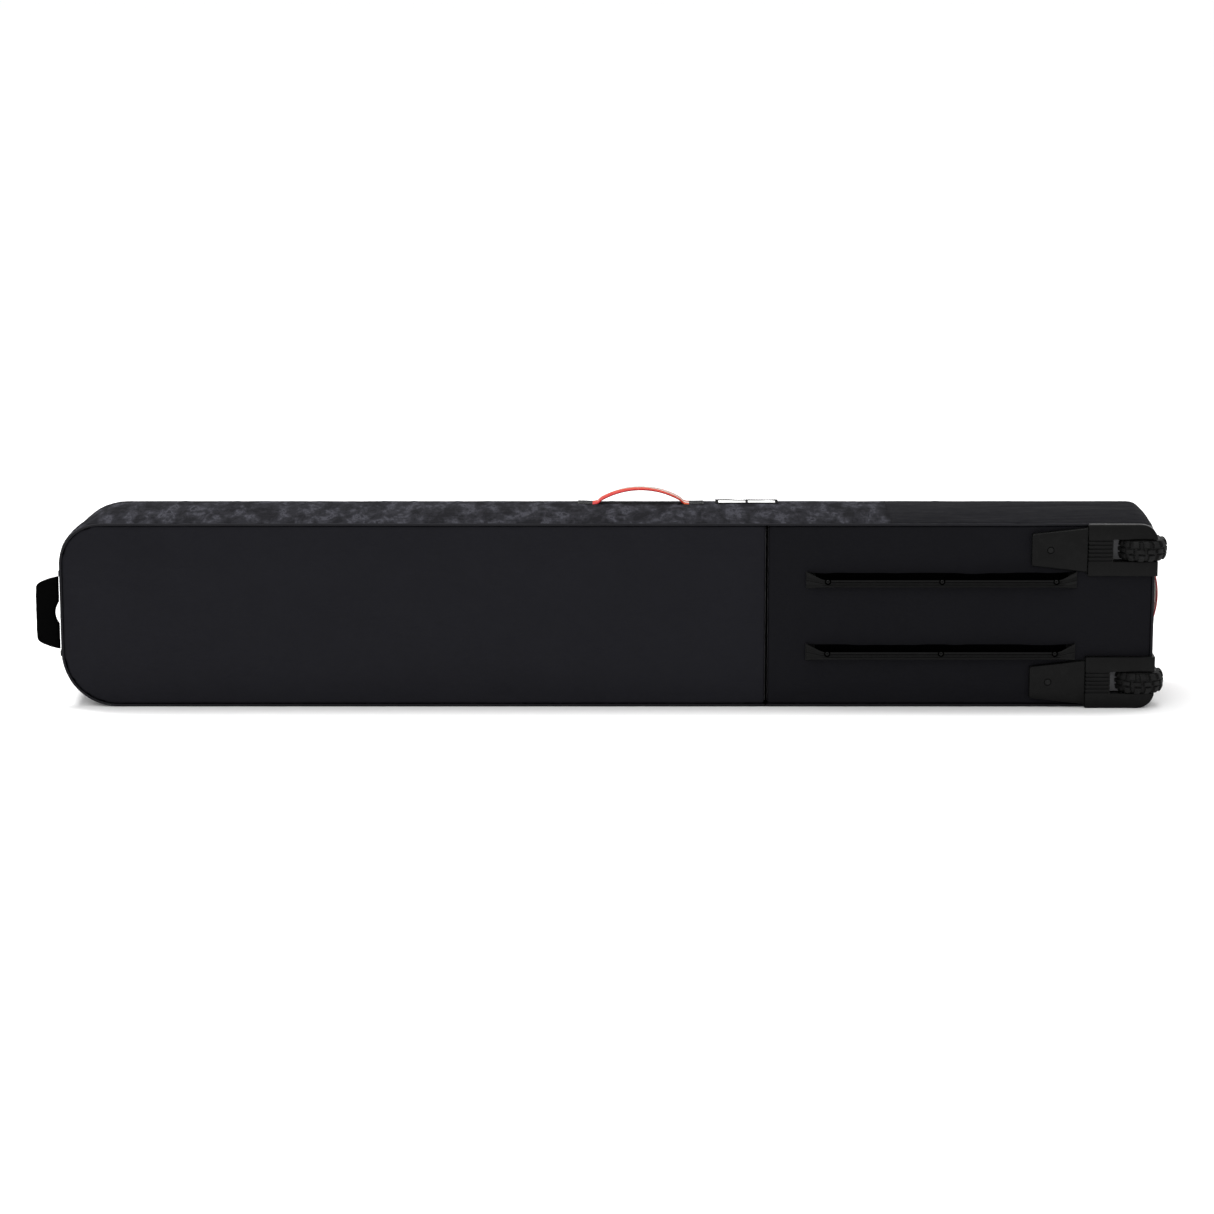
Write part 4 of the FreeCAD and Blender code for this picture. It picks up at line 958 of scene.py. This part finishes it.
LINING_THICK = 0.0008
LINING_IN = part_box("side_lining")[0].x - TAIL_X + LINING_THICK
FLOOR_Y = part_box("base_lining")[1].y
lining_rows = 14
lining_points = []
for row in range(lining_rows):
    share = row / (lining_rows - 1)
    y = FLOOR_Y - 0.0006 + (FACE_Y - 0.0034 - FLOOR_Y) * share
    for (x, z), way in outline(inset=LINING_IN):
        loose = 0.0012 * (1 + smooth_noise(x, y, z, 0.05, 4.0)) * math.sin(math.pi * share)
        lining_points.append((x - way[0] * loose, y, z - way[1] * loose))
lining = mesh_object("side_lining_cloth", lining_points,
                     grid_faces(lining_rows, len(lining_points) // lining_rows, closed=True), LINING)
face_outward(lining, Vector((0, 0, MIDDLE_Z)))
lining.data.flip_normals()
make_solid(lining, LINING_THICK)
stand_in(lining, "bag", "lining",
         "side_lining", "upper_wall_foam", "lower_wall_foam", "tail_wall_foam", "end_wall_foam")


QUILT_PITCH = 0.085


def lining_panel(name, inset, y, outward, low_edge, body, node):
    """A quilted sheet of lining, sewn down in a diamond pattern."""
    panel = slab(name, TAIL_X + inset, END_X - inset, inset, y, y - outward * 0.0007, 0.008, 40,
                 low_edge=low_edge)
    for vertex in panel.data.vertices:
        x, z = vertex.co.x, vertex.co.z
        rising, falling = math.sin(math.pi * (x + z) / QUILT_PITCH), math.sin(math.pi * (x - z) / QUILT_PITCH)
        quilt = abs(rising * falling) ** 0.45
        edge = min(1.0, max(lid_edge_distance(x, z) / 0.02, 0.0))
        vertex.co.y += outward * 0.0016 * quilt * edge
    dress(panel, LINING)
    stand_in(panel, body, "lining", node)


lining_panel("base_lining_quilt", LINING_IN - 0.0004, FLOOR_Y, 1, None, "bag", "base_lining")
lid_lining_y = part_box("lid_lining")[0].y
lining_panel("lid_lining_quilt", LID_IN, lid_lining_y + 0.0002, -1, LID_LOW_Z + 0.0005, "lid", "lid_lining")


# ---------------------------------------------------------------- hard parts

SHARP_ANGLE = 30
FINE_SHARE = 0.2


def softened_copy(node, name, material, width, segments=2, fine=None):
    """The node's own shape with its flat faces joined and its edges rounded, less so where fine says so."""
    obj = add_object(name, frame["nodes"][node].data.copy(), smooth=False)
    with editing(obj) as mesh:
        bmesh.ops.remove_doubles(mesh, verts=mesh.verts, dist=1e-6)
        bmesh.ops.dissolve_limit(mesh, angle_limit=math.radians(2), verts=mesh.verts, edges=mesh.edges)
        weight = mesh.edges.layers.float.new("bevel_weight_edge")
        for edge in mesh.edges:
            sharp = len(edge.link_faces) == 2 and edge.calc_face_angle(0.0) > math.radians(SHARP_ANGLE)
            edge[weight] = 1.0 if sharp else 0.0
            middle = (edge.verts[0].co + edge.verts[1].co) / 2
            if sharp and fine and fine(middle):
                edge[weight] = FINE_SHARE
    dress(obj, material)
    use_modifier(obj, "BEVEL", width=width, segments=segments, limit_method="WEIGHT",
                 use_clamp_overlap=not fine)
    return mark_sharp(obj, 40)


def mark_sharp(obj, angle):
    """Smooth shading that keeps edges over the given angle crisp."""
    limit = math.radians(angle)
    with editing(obj) as mesh:
        for edge in mesh.edges:
            edge.smooth = len(edge.link_faces) == 2 and edge.calc_face_angle(0.0) < limit
        for face in mesh.faces:
            face.smooth = True
    return obj


RAIL_FLARE = 0.0052
RAIL_LIP = 0.0045
RAIL_RAMP = 0.030
RAIL_SCOOP = 0.0060
RAIL_GROOVE = 0.0016
RAIL_SCOOP_FLOOR = 0.0055


def skid_rail(name, node):
    """A moulded rail: grooved flat top, scooped upper flank painted black as shade, and flared ends that ramp
    down to the cloth.
    """
    low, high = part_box(node)
    middle_z = (low.z + high.z) / 2
    height = high.y - low.y
    base_half = (high.z - low.z) / 2
    top_half = base_half - 0.0032
    grooves = (0.52, 0.40, 0.0, -0.40, -0.52)
    length = high.x - low.x
    near_end = [0.0, 0.0015, RAIL_RAMP * 0.5, RAIL_RAMP * 0.8, RAIL_RAMP]
    near_end += [RAIL_RAMP + 0.004, RAIL_RAMP + 0.006]
    spans = 20
    between = [near_end[-1] + n * (length - 2 * near_end[-1]) / spans for n in range(1, spans)]
    places = near_end + between + [length - place for place in reversed(near_end)]
    rows = []
    for place in places:
        from_end = min(place, length - place)
        rise = ramp_between(from_end, -0.006, RAIL_RAMP)
        tall = RAIL_LIP + (height - RAIL_LIP) * rise
        half = top_half + RAIL_FLARE * (1 - rise)
        foot = base_half + 0.001 * (1 - rise)
        scoop = RAIL_SCOOP * min(from_end / RAIL_RAMP, 1.0)
        upper = half - scoop
        groove = RAIL_GROOVE if from_end > RAIL_RAMP else RAIL_GROOVE * 0.4
        sunk = tall - (tall - RAIL_SCOOP_FLOOR) * min(scoop / 0.001, 1.0)
        profile = [(foot, 0.0), (foot - 0.0004, 0.0012), (upper + 0.0008, sunk), (upper, tall)]
        centre = (upper - half) / 2
        reach = (upper + half) / 2
        for across in (0.62, 0.52, 0.40, 0.30, 0.08, 0.0, -0.08, -0.30, -0.40, -0.52, -0.62):
            depth = groove if across in grooves else 0.0
            profile.append((centre + reach * across, tall - depth))
        profile += [(-half + 0.0008, tall), (-half - 0.0006, tall - 0.0012)]
        profile += [(-foot + 0.0004, 0.0018), (-foot, 0.0)]
        rows.append([(low.x + place, high.y - up, middle_z + across) for across, up in profile])
    count = len(rows[0])
    points = [point for row in rows for point in row]
    faces = grid_faces(len(rows), count, closed=True) + end_caps(len(rows), count)
    rail = outward_normals(mesh_object(name, points, faces, RAIL))
    rail.data.materials.append(PAINTED_SHADE_BLACK)
    # Painted shade: the upper flank faces take the black second material, standing for the shadow above the
    # rail.
    shaded_flank_faces = 3
    for row in range(len(rows) - 1):
        from_end = min(places[row], length - places[row + 1])
        for column in range(shaded_flank_faces):
            if from_end > RAIL_RAMP * 0.1:
                rail.data.polygons[row * count + column].material_index = 1
    return mark_sharp(rail, 28)


SCREW_SIDES = 24
TO_BASE = Vector((0, 0, 1)).rotation_difference(Vector((0, -1, 0))).to_matrix().to_4x4()


def screw_head(name, centre, radius, proud):
    """A low domed head with a hex socket, looking along -Y."""
    rings = [(0.0, -0.5), (0.42, -0.5), (0.46, 1.0), (0.85, 0.9), (1.0, 0.55), (1.0, -0.4)]
    points = []
    for number, (reach, up) in enumerate(rings):
        for corner in range(SCREW_SIDES):
            angle = TAU * corner / SCREW_SIDES
            hexed = 1.0
            if number in (1, 2):
                hexed = math.cos(math.pi / 6) / math.cos((angle % (math.pi / 3)) - math.pi / 6)
            across = reach * hexed * radius
            points.append(Vector((across * math.cos(angle), across * math.sin(angle), up * proud)))
    faces = grid_faces(len(rings), SCREW_SIDES, closed=True)
    head = mesh_object(name, [TO_BASE @ point + Vector(centre) for point in points], faces, SCREW)
    with editing(head) as mesh:
        bmesh.ops.remove_doubles(mesh, verts=mesh.verts, dist=1e-7)
        bmesh.ops.recalc_face_normals(mesh, faces=mesh.faces)
    return mark_sharp(head, 35)


def cut_cups(target, centres, radius, depth):
    """Round recesses sunk into the face that looks along -Y."""
    for centre in centres:
        bpy.ops.mesh.primitive_cylinder_add(vertices=28, radius=radius, depth=2 * depth,
                                            location=centre, rotation=(math.pi / 2, 0, 0))
        cut_away(target, bpy.context.object)


def screw_recess_shade(name, centre, radius):
    """A flat black disc on the floor of a screw's recess: painted shade for the recess."""
    angles = [TAU * n / SCREW_SIDES for n in range(SCREW_SIDES)]
    rim = [Vector((radius * math.cos(angle), radius * math.sin(angle), 0)) for angle in angles]
    points = [TO_BASE @ point + Vector(centre) for point in rim]
    return mesh_object(name, points, [tuple(range(SCREW_SIDES))], PAINTED_SHADE_BLACK, smooth=False)


screw_low, screw_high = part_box("skid_rail_screws")
HEAD_RADIUS = 0.0045
HEAD_SEEN = 0.0030
HEAD_PROUD = 0.0016
CUP = 0.0052
CUP_DEPTH = 0.0042
RAIL_SCREW_X = [screw_low.x + HEAD_RADIUS, (screw_low.x + screw_high.x) / 2, screw_high.x - HEAD_RADIUS]
RAIL_HEAD_Y = screw_low.y + 0.0012
rail_heads = []
for side in ("upper", "lower"):
    rail = skid_rail(side + "_skid_rail_moulding", side + "_skid_rail")
    low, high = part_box(side + "_skid_rail")
    centres = [(x, low.y, (low.z + high.z) / 2) for x in RAIL_SCREW_X]
    cut_cups(rail, centres, CUP, CUP_DEPTH)
    mark_sharp(rail, 28)
    stand_in(rail, "bag", "rail_plastic", side + "_skid_rail")
    for x, y, z in centres:
        rail_heads.append(screw_head("rail_screw_head", (x, RAIL_HEAD_Y, z), HEAD_SEEN, HEAD_PROUD))
        rail_heads.append(screw_recess_shade("rail_screw_recess_shade", (x, RAIL_HEAD_Y, z), CUP))
stand_in(join("rail_screw_heads", rail_heads), "bag", "black_screws", "skid_rail_screws")

TONGUE_END_X = 0.766
RECESS_X = 0.806
RIB_REACH = 0.021
OUTER_DEPTH = 0.012
for side in ("upper", "lower"):
    low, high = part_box(side + "_wheel_housing")
    middle_z = (low.z + high.z) / 2

    def fine_edge(place):
        ribbed = TONGUE_END_X < place.x < RECESS_X and abs(place.z - middle_z) < RIB_REACH
        return ribbed or place.y > low.y + OUTER_DEPTH

    node = side + "_wheel_housing"
    housing = softened_copy(node, side + "_housing_moulding", HOUSING, 0.0024, 3, fine_edge)
    stand_in(housing, "bag", "housing_plastic", node)


# ---------------------------------------------------------------- wheels

TREAD_LUGS = 14
LUG_TALL = 0.0036


def lug_height(turn, across):
    """1 on a tread block and 0 in a groove; across runs from -1 to 1 over the tread."""
    side = 0.5 if across > 0 else 0.0
    slant = 0.18 * abs(across)
    if abs(across) < 0.24:
        phase, share = 0.25, 0.70
    elif abs(across) < 0.38:
        return 0.0
    else:
        phase, share = side + slant, 0.58
    position = (turn * TREAD_LUGS / TAU + phase) % 1.0
    return 1.0 if position < share else 0.0


def knobbly_tyre(name, node):
    """A tyre with smooth sides and a blocked tread, closed round its inside."""
    low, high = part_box(node)
    centre = Vector(JOINTS[node.replace("_tyre", "_wheel_spin")]["pos_m"])
    outer = high.y - centre.y
    half = (high.z - low.z) / 2
    rim = outer - 0.012
    wall = [(rim, -half * 0.98), (rim + 0.002, -half), (outer - 0.0075, -half),
            (outer - 0.0065, -half + 0.0004)]
    tread_rows = 24
    columns = TREAD_LUGS * 14
    rings = [[place] * columns for place in wall]
    for row in range(tread_rows + 1):
        across = -1 + 2 * row / tread_rows
        rounded = 0.0038 * abs(across) ** 3
        ring = []
        for column in range(columns):
            knob = lug_height(TAU * column / columns, across)
            radius = outer - LUG_TALL - rounded + LUG_TALL * knob
            ring.append((radius, half * across * (0.96 + 0.04 * knob)))
        rings.append(ring)
    rings += [[(radius, -along)] * columns for radius, along in reversed(wall)]
    points = []
    for ring in rings:
        for column, (radius, along) in enumerate(ring):
            angle = TAU * column / columns
            points.append((centre.x + radius * math.cos(angle), centre.y + radius * math.sin(angle),
                           centre.z + along))
    faces = grid_faces(len(rings), columns, closed=True) + last_to_first(len(rings), columns)
    return mark_sharp(outward_normals(mesh_object(name, points, faces, TYRE)), 35)


for side in ("upper", "lower"):
    body = side + "_wheel"
    stand_in(knobbly_tyre(side + "_knobbly_tyre", side + "_tyre"), body, "wheel_tyre", side + "_tyre")
    hub = softened_copy(side + "_wheel_hub", side + "_hub_moulding", HUB, 0.0008)
    stand_in(hub, body, "hub_plastic", side + "_wheel_hub")


# ---------------------------------------------------------------- haul handles

def wall_height(x, y):
    """The outside of the upper side cloth."""
    share = (y - BASE_Y) / (FACE_Y - BASE_Y)
    return TOP_Z + wall_push(x, TOP_Z, (0.0, 1.0), share)


def end_height(z, y):
    """The outside of the end cloth."""
    share = (y - BASE_Y) / (FACE_Y - BASE_Y)
    return END_X + wall_push(END_X, z, (1.0, 0.0), share)


def strip(name, spine, width_way, out_ways, width, thickness, material, across=10):
    """A flat woven strip along a spine, with rolled edges; out_ways are the outward directions along it."""
    width_way = Vector(width_way)
    thicknesses = thickness if isinstance(thickness, list) else [thickness] * len(spine)
    rows = []
    for place, out, thick in zip(spine, out_ways, thicknesses):
        place, out = Vector(place), Vector(out).normalized()
        row = []
        for side in (1, -1):
            for number in range(across + 1):
                share = side * (-1 + 2 * number / across)
                edge = 0.75 if abs(share) > 0.93 else 1.0
                row.append(place + width_way * width / 2 * share + side * out * thick / 2 * edge)
        rows.append(row)
    count = len(rows[0])
    faces = grid_faces(len(rows), count, closed=True) + end_caps(len(rows), count)
    return outward_normals(mesh_object(name, [point for row in rows for point in row], faces, material))


SEWN_THICK = 0.0011
WEBBING_THICK = 0.0022
SEWN_LENGTH = 0.024
HAUL_STEPS = 110


def haul_handle(tag, along, out, wall_of, wall):
    """One length of webbing: flat where it is sewn down, arched between."""
    grip_low, grip_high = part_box(f"{tag}_handle_grip")
    ends_low, ends_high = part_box(f"{tag}_handle_sewn_ends")
    y = (grip_low.y + grip_high.y) / 2
    width = grip_high.y - grip_low.y
    axis = "XYZ".index(along)
    out_axis = "XYZ".index(out)
    middle = (grip_low[axis] + grip_high[axis]) / 2
    rise = grip_high[out_axis] - wall
    half_all = (ends_high[axis] - ends_low[axis]) / 2
    half_span = half_all - SEWN_LENGTH
    radius = (half_span ** 2 + rise ** 2) / (2 * rise)
    up = Vector((0, 0, 0))
    up[out_axis] = 1.0

    def spot(u, v, height):
        """A point on the handle, by how far it is along it, across it and out from the origin."""
        place = [0.0, y + v, 0.0]
        place[axis] = middle + u
        place[out_axis] = height
        return tuple(place)

    spine, thicknesses = [], []
    for number in range(HAUL_STEPS + 1):
        u = -half_all + 2 * half_all * number / HAUL_STEPS
        arch = math.sqrt(max(radius ** 2 - u ** 2, 0)) - (radius - rise)
        arch = max(arch, 0.0) * ramp_between(half_span + 0.004 - abs(u), 0.0, 0.020)
        here = SEWN_THICK + (WEBBING_THICK - SEWN_THICK) * ramp_between(arch, 0.0, 0.004)
        thicknesses.append(here)
        lift = max(arch - WEBBING_THICK / 2, wall_of(middle + u, y) - wall + here / 2 + 0.0003)
        lean = 0.0008 * smooth_noise(u, 0.2, 0.0, 0.05) * ramp_between(arch, 0.002, 0.02)
        spine.append(Vector(spot(u, lean, wall + lift)))
    out_ways = []
    for number in range(HAUL_STEPS + 1):
        forward = spine[min(number + 1, HAUL_STEPS)] - spine[max(number - 1, 0)]
        out_ways.append((up - forward * up.dot(forward) / forward.length_squared).normalized())
    webbing = striped_webbing(f"{tag}_handle_webbing", (grip_low + grip_high) / 2, half_span, along, width)
    piece = strip(f"{tag}_haul_handle", spine, (0, 1, 0), out_ways, width, thicknesses, webbing, 16)
    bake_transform(piece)
    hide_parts(f"{tag}_handle_grip", f"{tag}_handle_sewn_ends")
    sewn = []
    for sign in (-1, 1):
        near, far = half_span + 0.001, half_all - 0.003
        inset = width / 2 - 0.003
        corners = [(near, -inset), (far, -inset), (far, inset), (near, inset), (near, -inset), (far, inset),
                   (far, -inset), (near, inset)]
        path = []
        for (u0, v0), (u1, v1) in zip(corners, corners[1:]):
            for part in range(6):
                share = part / 6
                u, v = sign * (u0 + (u1 - u0) * share), v0 + (v1 - v0) * share
                path.append(spot(u, v, wall_of(middle + u, y) + 0.0003 + SEWN_THICK))
        sewn.append(stitches("box_stitch", path, up, pitch=0.0036, length=0.0026, radius=0.0003))
    stand_in(join(f"{tag}_handle_stitching", sewn), "bag", "handle_webbing")


haul_handle("side", "X", "Z", wall_height, TOP_Z)
haul_handle("end", "Z", "X", end_height, END_X)


# The grip's outer edge: how far along from its middle to its end, and the share of its reach given up there.
GRIP_EDGE = ((0.0, 0.0), (0.55, 0.0), (0.72, 0.02), (0.80, 0.09), (0.86, 0.25), (0.93, 0.52), (1.0, 0.93))
FINGER_GAP = 0.0062
FINGER_SHARE = 0.30
ROOT_GAP = 0.0004
ROOT_SUNK = 0.0004
ROOT_THICK = 0.0016


def along_edge(share):
    for (start, low), (stop, high) in zip(GRIP_EDGE, GRIP_EDGE[1:]):
        if share <= stop:
            return low + (high - low) * (share - start) / (stop - start)
    return GRIP_EDGE[-1][1]


def tail_handle():
    """A padded wrap lying flat against the tail, creased near its ends, with a slot for the fingers."""
    low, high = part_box("tail_handle_grip")
    y = (low.y + high.y) / 2
    root, tip = high.x - 0.0006, low.x + 0.0004
    middle = (low.z + high.z) / 2
    half_length = (high.z - low.z) / 2 - 0.0006
    sides = 28
    rows = 90
    points = []
    for row in range(rows + 1):
        share = math.sin((row / rows - 0.5) * math.pi)
        bent = abs(share)
        z = middle + share * half_length
        outer = tip + (root - tip) * along_edge(bent)
        slot = FINGER_GAP * max(0.0, 1 - (bent / FINGER_SHARE) ** 2)
        inner = root - slot
        centre, half = (outer + inner) / 2, (inner - outer) / 2
        ripple = 0.0006 * smooth_noise(z, 0, 0, 0.010, 3)
        for number in range(sides):
            angle = TAU * number / sides
            wide = math.copysign(abs(math.cos(angle)) ** 0.6, math.cos(angle))
            deep = math.copysign(abs(math.sin(angle)) ** (1.1 if wide > 0 else 0.6), math.sin(angle))
            x = centre + half * wide
            thick = min(0.0032, half * 0.9)
            crease = math.sin(bent * 34 + 260 * (x - tip)) * ramp_between(bent, 0.35, 0.75) * (1 - bent * 0.4)
            fold = 0.0009 * crease + 0.0007 * smooth_noise(z, x, 0, 0.008, 6)
            reach = min(thick, 0.0030) / 0.0032
            edge = ripple * (1 - ramp_between(bent, 0.75, 0.95)) if wide < 0 else 0.0
            points.append(Vector((max(min(x + edge, root), tip), y + (thick + fold * reach) * deep, z)))
    faces = grid_faces(rows + 1, sides, closed=True) + end_caps(rows + 1, sides)
    grip = outward_normals(mesh_object("tail_handle_wrap", points, faces, WRAP))
    stand_in(grip, "tail_grip", "tail_handle_cloth", "tail_handle_grip")
    patches = [softened_copy("tail_handle_sewn_ends", "tail_handle_ends", WRAP, 0.0009)]
    root_low, root_high = high.x + ROOT_GAP, TAIL_X + ROOT_SUNK
    for sign in (-1, 1):
        spine = []
        for number in range(25):
            share = FINGER_SHARE + (0.985 - FINGER_SHARE) * number / 24
            spine.append(Vector(((root_low + root_high) / 2, y, middle + sign * share * half_length)))
        patches.append(strip("tail_handle_base", spine, (1, 0, 0), [(0, 1, 0)] * len(spine),
                             root_high - root_low, ROOT_THICK, WRAP, 4))
    stand_in(join("tail_handle_tabs", patches), "bag", "tail_handle_cloth", "tail_handle_sewn_ends")


tail_handle()


# ---------------------------------------------------------------- label

LABEL_CURL = 0.0022


def side_label():
    """A woven patch with two plain pale fields."""
    low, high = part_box("side_label")
    border = 0.0048
    bar = 0.0020
    middle = (low.x + high.x) / 2
    pieces = []
    near, far = low.y + border, high.y - 2 * border
    fields = [("label_back", low.x, high.x, low.y, high.y, 0.0005, LABEL_BLACK),
              ("label_field_tail", low.x + border, middle - bar, near, far, 0.0008, LABEL_WHITE),
              ("label_field_end", middle + bar, high.x - border, near, far, 0.0008, LABEL_WHITE)]

    def on_label(x, y, level):
        return x, y, wall_height(x, y) + level + LABEL_CURL * (y - low.y) / (high.y - low.y)

    columns, rows = 26, 10
    for name, x_low, x_high, y_low, y_high, lift, material in fields:
        points = []
        for level in (lift, lift - 0.0006):
            for row in range(rows + 1):
                for column in range(columns + 1):
                    x = x_low + (x_high - x_low) * column / columns
                    y = y_low + (y_high - y_low) * row / rows
                    points.append(on_label(x, y, level))
        pieces.append(outward_normals(mesh_object(name, points, two_sided(rows + 1, columns + 1), material)))
    edge = 0.0014
    path = []
    corners = [(low.x, low.y), (high.x, low.y), (high.x, high.y), (low.x, high.y)]
    for start, stop in zip(corners, corners[1:] + corners[:1]):
        for number in range(16):
            x = start[0] + (stop[0] - start[0]) * number / 16
            y = start[1] + (stop[1] - start[1]) * number / 16
            x = min(max(x, low.x + edge), high.x - edge)
            y = min(max(y, low.y + edge), high.y - edge)
            path.append(on_label(x, y, 0.0006))
    pieces.append(stitches("label_stitch", path, (0, 0, 1)))
    return join("side_label_patch", pieces)


stand_in(side_label(), "bag", "label", "side_label")


# ---------------------------------------------------------------- zipper sliders, straps and buckles

# Each row: the body, the node's ending, the piece's ending, its material, its rounding and its slot.
SMALL_PARTS = (("slider", "zipper_slider", "slider_casting", ENAMEL, 0.0005, "slider_metal"),
               ("pull", "zipper_pull", "pull_tab", PULL, 0.0004, "pull_rubber"),
               ("plug", "buckle_plug", "plug_moulding", BUCKLE, 0.0010, "buckle_plastic"))
for end in ("tail", "wheel_end"):
    for body, node, piece, material, rounding, slot in SMALL_PARTS:
        part = softened_copy(f"{end}_{node}", f"{end}_{piece}", material, rounding)
        stand_in(part, f"{end}_{body}", slot, f"{end}_{node}")
sockets = softened_copy("buckle_sockets", "buckle_socket_mouldings", BUCKLE, 0.0010)
stand_in(sockets, "bag", "buckle_plastic", "buckle_sockets")

STRAP_HALF = 0.019
STRAP_WIDE = 0.0375
STRAP_THICK = 0.0013
STRAP_STEPS = 60
straps = []
strap_low, strap_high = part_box("inner_straps")
for middle_x in (strap_low.x + STRAP_HALF, strap_high.x - STRAP_HALF):
    spine = []
    for number in range(STRAP_STEPS + 1):
        z = strap_low.z + 0.001 + (strap_high.z - strap_low.z - 0.002) * number / STRAP_STEPS
        from_buckle = abs(z - MIDDLE_Z)
        loose = 0.0018 * ramp_between(from_buckle, 0.03, 0.06) * abs(math.sin(from_buckle * 38))
        spine.append(Vector((middle_x, (strap_low.y + strap_high.y) / 2 + loose, z)))
    out_ways = [(0, 1, 0)] * len(spine)
    straps.append(strip("strap", spine, (1, 0, 0), out_ways, STRAP_WIDE, STRAP_THICK, STRAP))
stand_in(join("inner_strap_webbing", straps), "bag", "strap_webbing", "inner_straps")

# Nodes shown as they are in the frame, with a material each.
KEPT_NODES = {"wheel_axle_bolts": STEEL, "wheel_axle_nuts": STEEL, "backing_nuts": STEEL,
              "housing_screws": SCREW, "upper_wheel_bearings": BEARING, "lower_wheel_bearings": BEARING,
              "upper_bearing_spacer": BEARING, "lower_bearing_spacer": BEARING}
for node, material in KEPT_NODES.items():
    dress(frame["nodes"][node], material)
